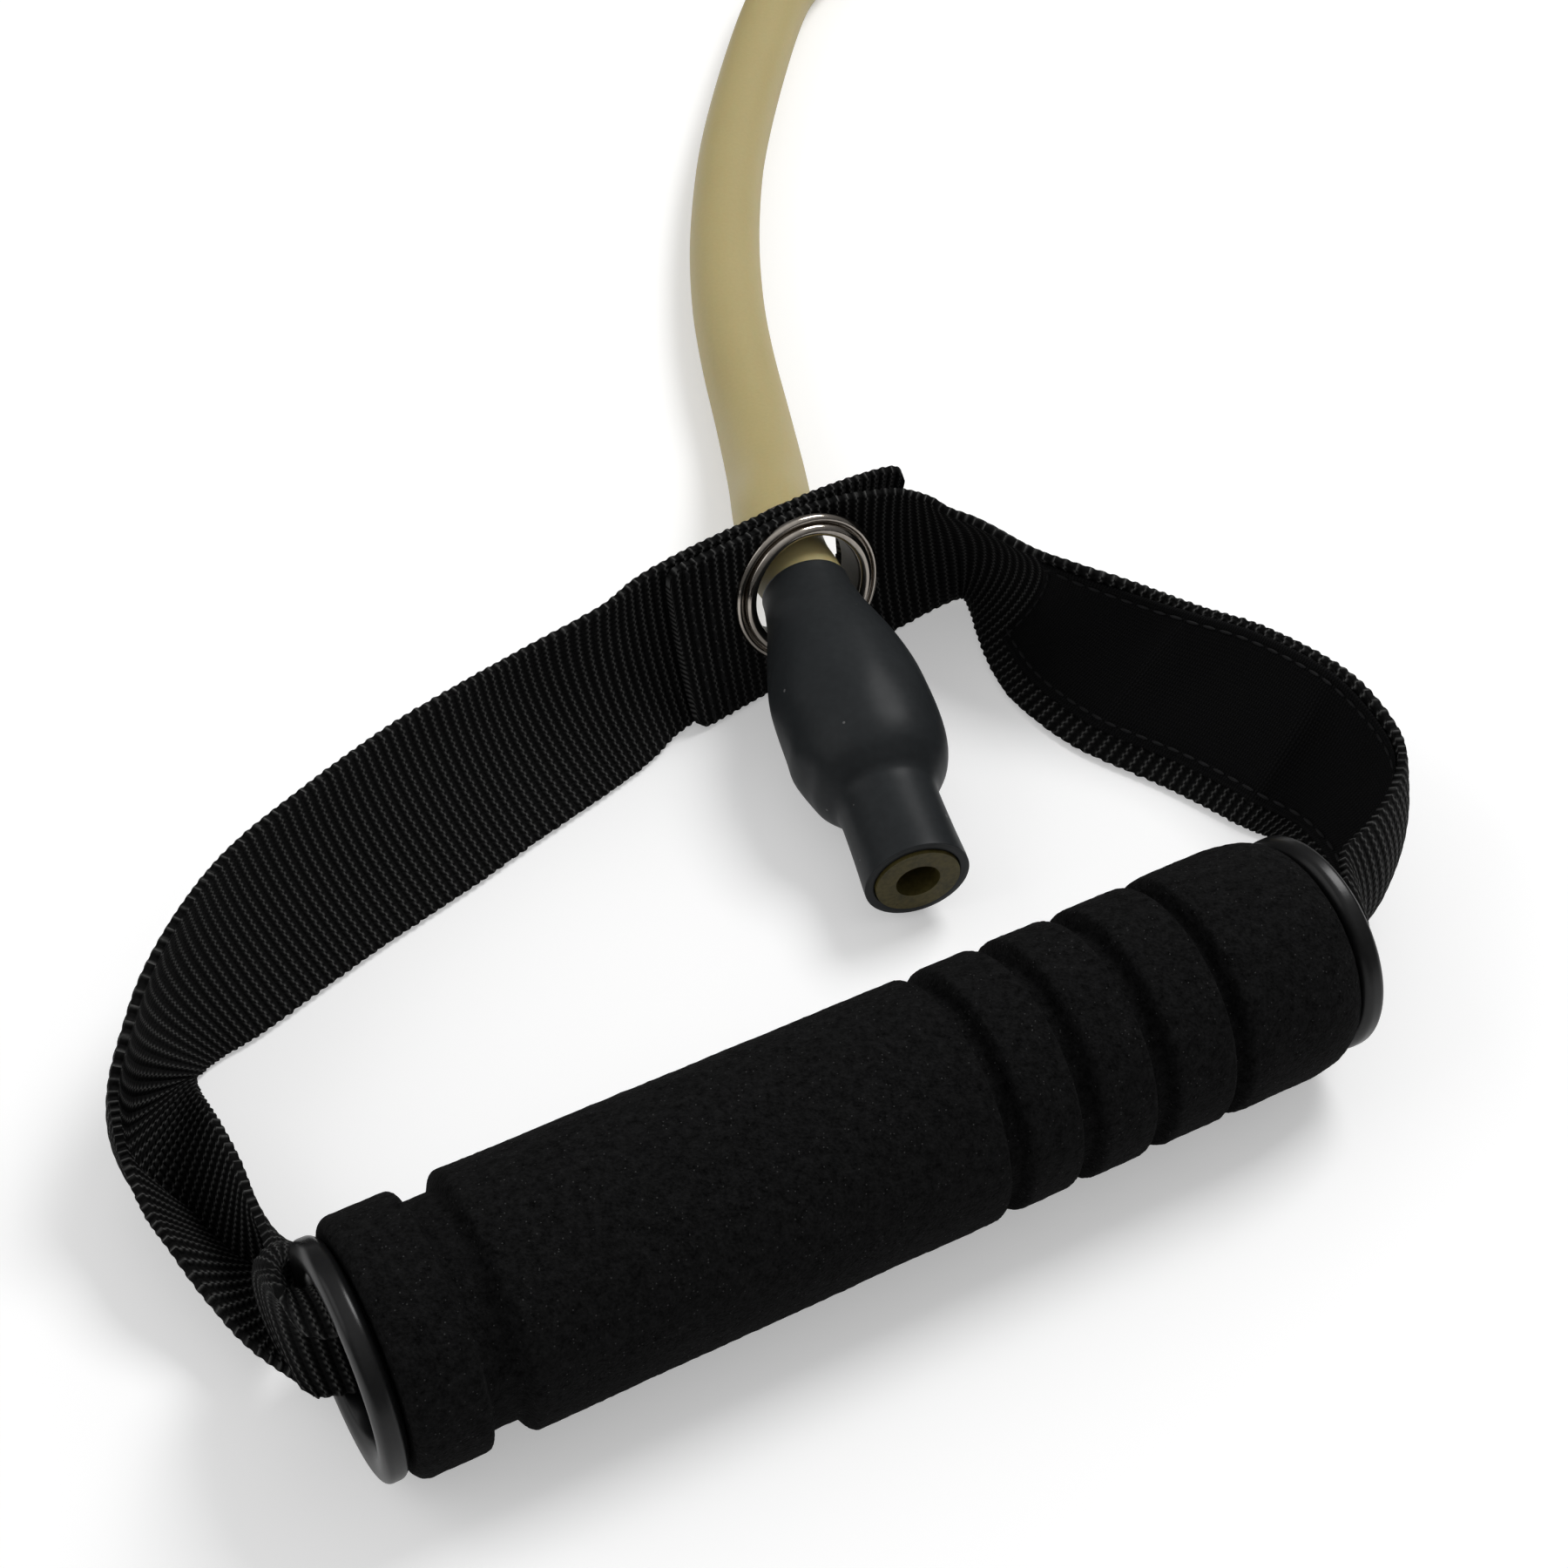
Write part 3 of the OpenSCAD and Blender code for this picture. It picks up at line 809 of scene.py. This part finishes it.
def strip_piece(name: str, side: Side, ring: np.ndarray, keep: np.ndarray, s: np.ndarray,
                across: np.ndarray) -> bpy.types.Object:
    """Join rows of points into a closed strip.

    Args:
        name: name of the piece.
        side: the handle it belongs to.
        ring: points round each row, front then back, in handle millimetres.
        keep: the cells of one face that are there.
        s: length along the strip at each row, millimetres.
        across: place across the strip at each column, millimetres.

    Returns:
        The strip, with its own UV map in millimetres.
    """
    rows, count = ring.shape[:2]
    cols = count // 2
    faces = []
    for i in range(rows - 1):
        a0, b0 = i * count, (i + 1) * count
        for j in range(cols - 1):
            mirror = count - 1 - j
            if keep[i, j]:
                faces.append([a0 + j, a0 + j + 1, b0 + j + 1, b0 + j])
                faces.append([a0 + mirror - 1, a0 + mirror, b0 + mirror, b0 + mirror - 1])
                continue
            walls = ((keep[i, j - 1], [a0 + j, a0 + mirror, b0 + mirror, b0 + j]),
                     (keep[i, j + 1], [a0 + j + 1, b0 + j + 1, b0 + mirror - 1, a0 + mirror - 1]),
                     (keep[i - 1, j], [a0 + j, a0 + j + 1, a0 + mirror - 1, a0 + mirror]),
                     (keep[i + 1, j], [b0 + j, b0 + mirror, b0 + mirror - 1, b0 + j + 1]))
            faces.extend(wall for kept, wall in walls if kept)
        faces.append([a0 + cols - 1, a0 + cols, b0 + cols, b0 + cols - 1])
        faces.append([a0 + count - 1, a0, b0, b0 + count - 1])
    last = (rows - 1) * count
    for j in range(cols - 1):
        mirror = count - 1 - j
        faces.append([j, mirror, mirror - 1, j + 1])
        faces.append([last + j, last + j + 1, last + mirror - 1, last + mirror])
    width = np.concatenate([across, across[::-1]])
    uv = np.stack(np.broadcast_arrays(s[:, None], width[None, :]), axis=2).reshape(-1, 2)
    outward = [face[::-1] for face in faces]
    return make_piece(name, side.place(ring.reshape(-1, 3)), outward, uv)


@dataclass
class Webbing:
    """The ribbed webbing strap."""

    side: Side
    shape: StrapShape
    thickness: float = 1.3
    rib_pitch: float = 1.5
    rib_height: float = 0.2
    rib_power: float = 0.8
    row_step: float = 0.3
    columns: int = 26
    edge_share: float = 0.1
    edge_rib: float = 0.4
    edge_thickness: float = 0.72
    drift_rate: float = 0.9
    bead_start: float = 0.6
    bead: float = 0.32
    bead_spread: float = 0.3
    bead_drift: float = 0.06
    hole_radius: float = 9.2
    hole_depth: float = 8.0
    corner: float = 2.2

    def build(self) -> bpy.types.Object:
        """Make the strap with a ridge for every rib, a beaded edge and soft corners."""
        u, s = self.shape.even(self.row_step)
        f = np.linspace(0.0, 1.0, self.columns + 1)
        grid = self.shape.surface(u, f)
        normal = self.shape.normals(grid)
        across = unit(np.gradient(grid, axis=1))
        wave = np.abs(np.cos(math.pi * s / self.rib_pitch)) ** self.rib_power
        edge = np.clip(1 - np.abs(2 * f - 1), 0, self.edge_share) / self.edge_share
        rib = self.rib_height * (wave[:, None] - 0.5) * (self.edge_rib + (1 - self.edge_rib) * edge[None, :])
        thin = self.edge_thickness + (1 - self.edge_thickness) * np.sqrt(edge)
        height = (self.thickness / 2 + rib) * thin[None, :]
        uneven = np.array([noise.noise(Vector((k, 4.0, 0.0))) for k in s * self.drift_rate])
        bead = (wave - self.bead_start) * (self.bead + self.bead_spread * uneven) + self.bead_drift * uneven
        grid[:, 0] -= across[:, 0] * bead[:, None]
        grid[:, -1] += across[:, -1] * bead[:, None]
        near_end = np.minimum(np.minimum(s, s[-1] - s), self.corner)
        inset = self.corner - np.sqrt(self.corner ** 2 - (self.corner - near_end) ** 2)
        middle = (grid[:, :1] + grid[:, -1:]) / 2
        grid = middle + (grid - middle) * (1 - 2 * inset / self.shape.width)[:, None, None]
        front, back = grid - normal * height[:, :, None], grid + normal * height[:, :, None]
        ring = np.concatenate([front, back[:, ::-1]], axis=1)
        return strip_piece(self.side.node("webbing"), self.side, ring, self.clear_of_hole(grid), s,
                           f * self.shape.width)

    def clear_of_hole(self, grid: np.ndarray) -> np.ndarray:
        """Find the cells that lie outside the eyelet's hole.

        Args:
            grid: middle surface of the strap, handle millimetres.

        Returns:
            True for each cell that stays.
        """
        centre = (grid[:-1, :-1] + grid[1:, 1:]) / 2 - EYELET_AXIS[:3, 3]
        local = centre @ EYELET_AXIS[:3, :3]
        radius = np.hypot(local[..., 0], local[..., 1])
        return (radius > self.hole_radius) | (np.abs(local[..., 2]) > self.hole_depth)


@dataclass
class Label:
    """The plain satin patch on the inner face of the right leg."""

    side: Side
    shape: StrapShape
    start: float = 7.4
    stop: float = 14.6
    low: float = 0.15
    high: float = 0.96
    lift: float = 0.82
    thickness: float = 0.35
    step: float = 0.7
    columns: int = 28
    pucker: float = 0.12
    ripple: float = 0.1
    seam_inset: float = 0.055
    seam_columns: int = 40

    def build(self) -> bpy.types.Object:
        """Make the patch with a folded, slightly puckered border."""
        u, s = self.shape.even(self.step, self.start, self.stop)
        f = np.linspace(self.low, self.high, self.columns)
        grid = self.shape.surface(u, f)
        normal = self.shape.normals(grid)
        border = np.minimum(np.minimum(s, s[-1] - s)[:, None],
                            (np.minimum(f - self.low, self.high - f) * self.shape.width)[None, :])
        ripple = self.ripple * np.sin(s / 3.1)[:, None] * np.cos(f * 9.0)[None, :]
        top = self.lift + self.thickness - self.pucker * hill(border, 1.6, 0.5) + ripple
        upper, lower = grid - normal * top[:, :, None], grid - normal * self.lift
        ring = np.concatenate([upper, lower[:, ::-1]], axis=1)
        keep = np.ones((len(s) - 1, len(f) - 1), bool)
        return strip_piece(self.side.node("satin_label"), self.side, ring, keep, s,
                           f * self.shape.width)

    def stitch_path(self) -> np.ndarray:
        """Return the border seam as points in handle millimetres."""
        u, _ = self.shape.even(0.5, self.start + 0.14, self.stop - 0.1)
        f = np.linspace(self.low + self.seam_inset, self.high - self.seam_inset, self.seam_columns)
        past = 0.02  # one row more on every side, so that the normals hold to the seam
        grid = self.shape.surface(np.array([u[0] - past, *u, u[-1] + past]),
                                  np.array([f[0] - past, *f, f[-1] + past]))
        depth = self.lift + self.thickness + 0.02
        grid = (grid - self.shape.normals(grid) * depth)[1:-1, 1:-1]
        return np.concatenate([grid[:, 0], grid[-1], grid[::-1, -1], grid[0, ::-1]])


@dataclass(frozen=True)
class StitchRun:
    """Repeats a stitch along a seam with Geometry Nodes; sizes in metres."""

    pitch: float
    length: float
    width: float

    @staticmethod
    @cache
    def tree() -> bpy.types.NodeTree:
        """Return the node tree with named sizes, made once."""
        n, given, given_out = new_group("stitch_run", ("Pitch", "Stitch Length", "Thread Width"), (),
                                        "GeometryNodeTree")
        width = given.outputs["Thread Width"]
        curve, ball = n.add("GeometryNodeMeshToCurve"), n.add("GeometryNodeMeshUVSphere")
        spaced = n.add("GeometryNodeResampleCurve", mode="LENGTH")
        size, shaped = n.add("ShaderNodeCombineXYZ"), n.add("GeometryNodeTransform")
        turn = n.add("FunctionNodeAlignRotationToVector", axis="Z")
        placed, real = n.add("GeometryNodeInstanceOnPoints"), n.add("GeometryNodeRealizeInstances")
        smooth, paint = n.add("GeometryNodeSetShadeSmooth"), n.add("GeometryNodeSetMaterial")
        n.wire((curve, "Mesh", given), (spaced, "Curve", curve), (spaced, "Length", given.outputs["Pitch"]),
               (ball, "Segments", 8), (ball, "Rings", 6), (ball, "Radius", 0.5),
               (size, "X", width), (size, "Y", width), (size, "Z", given.outputs["Stitch Length"]),
               (shaped, "Geometry", ball), (shaped, "Scale", size),
               (turn, "Vector", n.add("GeometryNodeInputTangent")),
               (placed, "Points", spaced), (placed, "Instance", shaped), (placed, "Rotation", turn),
               (real, 0, placed), (smooth, 0, real),
               (paint, "Geometry", smooth), (paint, "Material", Kit.thread.build()), (given_out, 0, paint))
        return n.tree

    def sew(self, name: str, paths: Sequence[np.ndarray], side: Side) -> bpy.types.Object:
        """Sew along one or more paths.

        Args:
            name: name of the piece.
            paths: lines in handle millimetres.
            side: the handle.

        Returns:
            The stitches as one plain mesh.
        """
        points, edges = [], []
        for path in paths:
            base = len(points)
            points.extend(side.place(path).tolist())
            edges.extend((base + k, base + k + 1) for k in range(len(path) - 1))
        mesh = bpy.data.meshes.new(name + "_path")
        mesh.from_pydata(points, edges, [])
        guide = add_object(name + "_path", mesh)
        modifier = guide.modifiers.new("stitches", "NODES")
        modifier.node_group = self.tree()
        sizes = {"Pitch": self.pitch, "Stitch Length": self.length, "Thread Width": self.width}
        for item in modifier.node_group.interface.items_tree:
            if item.item_type == "SOCKET" and item.in_out == "INPUT" and item.name in sizes:
                modifier[item.identifier] = sizes[item.name]
        bpy.context.view_layer.update()
        graph = bpy.context.evaluated_depsgraph_get()
        made = bpy.data.meshes.new_from_object(guide.evaluated_get(graph))
        made.name = name
        bpy.data.objects.remove(guide)
        return add_object(name, made)


@dataclass
class Grip:
    """The foam, its core and the two end rings."""

    side: Side
    foam_radius: float = 15.0
    groove: float = 2.0
    half_length: float = 63.0
    bore_radius: float = 12.5
    segments: int = 200

    def foam(self) -> bpy.types.Object:
        """Make the foam with its grooves."""
        r, g = self.foam_radius, self.foam_radius - self.groove
        edge, soft = 0.6, 0.5
        corners = [(11.6, -60.9, 0.1), (14.0, -60.9, 0.6), (14.9, -59.9, 0.8), (14.9, -52.5, edge),
                   (13.1, -51.9, soft), (13.1, -48.3, soft), (r, -47.3, edge)]
        for start, stop in ((10.9, 13.9), (20.6, 23.7), (30.6, 33.8), (41.7, 44.2)):
            corners += [(r, start, edge), (g, start + 0.6, soft), (g, stop - 0.6, soft), (r, stop, edge)]
        corners += [(r + 0.2, 46.0, 0.3), (r + 0.2, 55.5, 2.5), (14.6, 59.0, 2.0),
                    (13.3, 60.9, 0.8), (11.6, 60.9, 0.1)]
        outline = densify(rounded(corners, 5), 0.6)

        def wobble(p: Vector) -> float:
            """Return the outward shift of the foam at a local point, millimetres."""
            broad = noise.noise(p * 0.09) * 0.1
            fuzz = noise.noise(p * 0.8) * 0.05 + noise.noise(p * 1.9) * 0.08
            return broad + fuzz if p.xy.length > self.bore_radius else 0.0

        return lathe(self.side.node("foam"), outline, GRIP_AXIS, self.side, self.segments, wobble)

    def ring(self, end: str) -> bpy.types.Object:
        """Make one end ring with its spigot.

        Args:
            end: left or right.

        Returns:
            The ring.
        """
        face, way = self.half_length, -1 if end == "left" else 1
        corners = [(9.6, 48.0, 0.2), (10.5, 48.0, 0.2), (10.5, face - 1.9, 0.2), (12.9, face - 1.8, 0.4),
                   (13.8, face - 1.0, 0.8), (13.8, face + 0.8, 1.0), (12.6, face + 1.35, 1.2),
                   (11.0, face + 1.2, 1.1), (9.9, face + 0.5, 0.8), (9.6, face - 0.5, 0.6)]
        outline = rounded([(r, way * h, q) for r, h, q in corners], 6)
        return lathe(self.side.node(f"grip_ring_{end}"), outline, GRIP_AXIS, self.side)

    def build(self) -> None:
        """Make and dress the grip's pieces."""
        body = self.side.node("grip")
        foam = self.foam()
        dress(foam, Kit.foam, "foam", body, self.side.node("foam_grip"))
        for end in ("left", "right"):
            dress(self.ring(end), Kit.ring, "ring", body, self.side.node(f"end_ring_{end}"))
        refinish(self.side.node("core_tube"), Kit.core)


@dataclass
class EndFitting:
    """The eyelet, the moulded sleeve and the tube's end."""

    side: Side
    uneven: float = 0.42
    dent: float = 0.42
    dent_rim: float = 0.18
    dent_side: tuple[float, float, float] = (-0.9, 0.44, 0.0)
    inner_radius: float = 8.4

    def eyelet(self) -> list[bpy.types.Object]:
        """Make the rolled front rim, the back washer and the barrel between them."""
        front = rounded([(8.6, 3.0, 0.1), (9.0, 3.0, 0.1), (9.0, 1.9, 0.2), (10.8, 1.95, 0.2),
                         (11.45, 2.1, 0.3), (11.45, 2.9, 0.5), (11.0, 3.35, 0.4), (10.55, 3.25, 0.3),
                         (10.4, 2.7, 0.2), (10.25, 2.7, 0.2), (10.1, 3.6, 0.6), (9.5, 4.05, 0.5),
                         (8.75, 3.8, 0.5), (8.4, 3.3, 0.3)], 5)
        back = rounded([(9.1, -3.25, 0.2), (10.6, -3.25, 0.4), (11.4, -2.8, 0.4), (11.4, -2.2, 0.2),
                        (9.1, -2.2, 0.1)], 4)
        barrel = rounded([(8.82, -3.2, 0.05), (8.98, -3.2, 0.05), (8.98, 2.9, 0.2), (8.32, 2.9, 0.2)], 4)
        return [lathe(self.side.node(name), outline, EYELET_AXIS, self.side)
                for name, outline in (("eyelet_rim", front), ("eyelet_washer", back),
                                      ("eyelet_barrel", barrel))]

    def sleeve(self) -> bpy.types.Object:
        """Make the moulded sleeve: neck, belly, waist and tip."""
        outer = np.array([(6.4, 2.0), (6.5, 3.5), (6.8, 5.5), (7.3, 8.0), (8.3, 11.5), (9.4, 15.5),
                          (10.2, 19.5), (10.7, 24.0), (10.9, 28.5), (10.8, 32.0), (10.4, 35.2),
                          (9.5, 37.9), (8.3, 39.7), (7.3, 41.0), (6.9, 42.3), (6.85, 45.0),
                          (6.95, 50.0), (7.1, SLEEVE_LENGTH - 1.1), (6.9, SLEEVE_LENGTH - 0.6),
                          (5.9, SLEEVE_LENGTH - 0.6)])
        smooth = spline(outer, np.linspace(0, len(outer) - 1, 5 * (len(outer) - 1) + 1))
        inner = np.array([(5.75, SLEEVE_LENGTH - 0.9), (5.75, 39.7), (8.25, 34.1), (8.25, 24.9),
                          (5.95, 17.9), (5.95, 2.2)])
        outline = np.concatenate([smooth, inner])

        left = Vector(SLEEVE_AXIS[:3, :2].T @ np.array(self.dent_side)).normalized()

        def wobble(p: Vector) -> float:
            """Return the outward shift of the rubber over the plug at a local point, millimetres."""
            belly = hill(p.z, 27.0, 9.0)
            if p.xy.length < self.inner_radius and 8.0 < p.z < SLEEVE_LENGTH - 8.0 and belly > 0.25:
                return 0.0  # the wall on the plug keeps its shape
            soft = noise.noise(Vector((p.x * 0.16, p.y * 0.16, p.z * 0.12))) * self.uneven * belly
            beside = hill(p.xy.normalized().dot(left), 1.0, 0.12)
            depth = self.dent * hill(p.z, 36.5, 1.8) - self.dent_rim * hill(p.z, 32.5, 1.6)
            return soft - beside * depth

        return lathe(self.side.node("sleeve_skin"), outline, SLEEVE_AXIS, self.side, wobble=wobble)

    def build(self) -> None:
        """Make and dress the fitting."""
        strap_body = self.side.node("strap_handle")
        front, back, barrel = self.eyelet()
        dress(front, Kit.nickel, "nickel", strap_body, self.side.node("eyelet_front"))
        dress(back, Kit.nickel, "nickel", strap_body, self.side.node("eyelet_back"))
        # the barrel gets the painted shade finish in place of nickel
        dress(barrel, Kit.shaded, "nickel", strap_body)
        dress(self.sleeve(), Kit.sleeve, "sleeve", "tube", self.side.node("sleeve"))
        # the tube's end face gets the darker latex, a painted shade
        refinish(self.side.node("tube_end"), Kit.cut)
        refinish(self.side.node("stopper_plug"), Kit.core)


@dataclass
class StrapHandle:
    """The webbing, its label and its seams."""

    side: Side
    shape: StrapShape = field(default_factory=StrapShape)
    seams: tuple[float, float] = (0.3, 0.52)
    seam_lift: float = 0.82

    def seam_paths(self) -> list[np.ndarray]:
        """Return the two seam lines across the front layer's end."""
        f = np.linspace(0.06, 0.94, 60)
        grids = [self.shape.surface(np.array([u - 0.02, u, u + 0.02]), f) for u in self.seams]
        return [(grid - self.shape.normals(grid) * self.seam_lift)[1] for grid in grids]

    def build(self) -> None:
        """Make and dress the strap, the label and the stitches."""
        body = self.side.node("strap_handle")
        strap = Webbing(self.side, self.shape).build()
        dress(strap, Kit.webbing, "webbing", body, self.side.node("strap"))
        label_maker = Label(self.side, self.shape)
        label = label_maker.build()
        dress(label, Kit.satin, "label_satin", body, self.side.node("label"))
        edge = StitchRun(0.0024, 0.0019, 0.00045).sew(
            self.side.node("label_stitches"), [label_maker.stitch_path()], self.side)
        dress(edge, Kit.thread, "thread", body)
        seam = StitchRun(0.0021, 0.0017, 0.0006).sew(
            self.side.node("end_seam"), self.seam_paths(), self.side)
        dress(seam, Kit.thread, "thread", body, self.side.node("strap_stitching"))
        _, lengths = self.shape.even(1.0)
        self.side.node("foam")
        _, patch = self.shape.even(1.0, label_maker.start, label_maker.stop)


# ---- stage

def seen_rays(n: Nodes, strength: float, glossy: float = 0.5) -> bpy.types.NodeSocket:
    """Return a strength for rays that show the surroundings.

    Args:
        n: the tree's builder.
        strength: strength for those rays.
        glossy: share of it for mirrored rays.

    Returns:
        The strength socket.
    """
    path = n.add("ShaderNodeLightPath")
    shown = n.math("MAXIMUM", path.outputs["Is Camera Ray"], path.outputs["Is Transmission Ray"])
    shown = n.math("MAXIMUM", shown, n.math("MULTIPLY", path.outputs["Is Glossy Ray"], glossy))
    return n.math("MULTIPLY", shown, strength)


@dataclass
class Studio:
    """Camera, lights, floor and surroundings."""

    floor_half: float = 8.0
    floor_glow: float = 0.34
    glow_start: float = 0.5
    glow_rate: float = 1.2
    world_light: float = 0.42
    mirror_low: float = 0.12
    mirror_rise: float = 0.6
    aim: Point = (0.0, -0.2, 0.0)

    def camera(self) -> None:
        """Place the camera."""
        lens = bpy.data.cameras.new("view")
        lens.lens, lens.sensor_width = 60.0, 36.0
        lens.clip_start, lens.clip_end = 0.01, 20.0
        eye = add_object("view", lens)
        eye.location = (0.0011, -0.4737, 0.2507)
        eye.rotation_euler = (math.radians(46.37), 0.0, 0.0)
        bpy.context.scene.camera = eye

    def lamp(self, name: str, place: Point, size: float, power: float) -> None:
        """Add a soft lamp.

        Args:
            name: name of the lamp.
            place: where it hangs, metres.
            size: side of its square, metres.
            power: watts.
        """
        data = bpy.data.lights.new(name, "AREA")
        data.size, data.energy = size, power
        lamp = add_object(name, data)
        lamp.location = place
        lamp.rotation_euler = (Vector(self.aim) - Vector(place)).to_track_quat("-Z", "Y").to_euler()

    def floor(self) -> None:
        """Lay a pale floor that keeps the shadow and shows white, more so far away."""
        half = self.floor_half
        points = np.array([(-half, -half, 0), (half, -half, 0), (half, half, 0), (-half, half, 0)], float)
        floor = make_piece("floor", points, [[0, 1, 2, 3]], smooth=False)
        material = bpy.data.materials.new("floor_white")
        material.use_nodes = True
        n = Nodes(material.node_tree)
        n.tree.nodes.clear()
        away = n.add("ShaderNodeVectorMath", operation="LENGTH")
        n.wire((away, 0, n.add("ShaderNodeTexCoord").outputs["Object"]))
        past = n.math("SUBTRACT", away.outputs["Value"], self.glow_start)
        far = n.math("MULTIPLY", past, self.glow_rate, clamp=True)
        strength = n.math("MULTIPLY", seen_rays(n, self.floor_glow), n.math("ADD", far, 1.0))
        matt, glow = n.add("ShaderNodeBsdfDiffuse"), n.add("ShaderNodeEmission")
        both, out = n.add("ShaderNodeAddShader"), n.add("ShaderNodeOutputMaterial")
        n.wire((matt, "Color", gray(0.8)), (glow, "Strength", strength), (both, 0, matt), (both, 1, glow),
               (out, "Surface", both))
        floor.data.materials.append(material)

    def surroundings(self) -> None:
        """Set an even light from all round, white where it is seen, darker low down in mirrors."""
        world = bpy.data.worlds.new("surroundings")
        world.use_nodes = True
        bpy.context.scene.world = world
        n = Nodes(world.node_tree)
        back = n.tree.nodes["Background"]
        split = n.add("ShaderNodeSeparateXYZ")
        n.wire((split, 0, n.add("ShaderNodeTexCoord").outputs["Generated"]))
        high = n.math("POWER", n.math("MAXIMUM", split.outputs["Z"], 0.0), 3.0)
        ramp = n.math("MULTIPLY_ADD", high, self.mirror_rise, self.mirror_low - self.world_light)
        glossy = n.add("ShaderNodeLightPath").outputs["Is Glossy Ray"]
        even = n.math("MULTIPLY_ADD", glossy, ramp, self.world_light)
        strength = n.math("MAXIMUM", seen_rays(n, 1.0, 0.0), even)
        n.wire((back, "Color", gray(1.0)), (back, "Strength", strength))

    def build(self) -> None:
        """Set the whole stage."""
        self.camera()
        self.surroundings()
        self.floor()
        self.lamp("key", (0.48, 0.22, 0.9), 0.45, 6.2)
        self.lamp("fill", (-0.9, -0.35, 0.6), 0.9, 2.6)
        bpy.context.scene.view_settings.view_transform = "Standard"


def main() -> None:
    """Build the band in order."""
    logging.basicConfig(level=logging.INFO, format="%(name)s: %(message)s")
    Studio().build()
    Tube().build()
    for side in Side:
        Grip(side).build()
        EndFitting(side).build()
        StrapHandle(side).build()


if __name__ == "__main__":
    main()
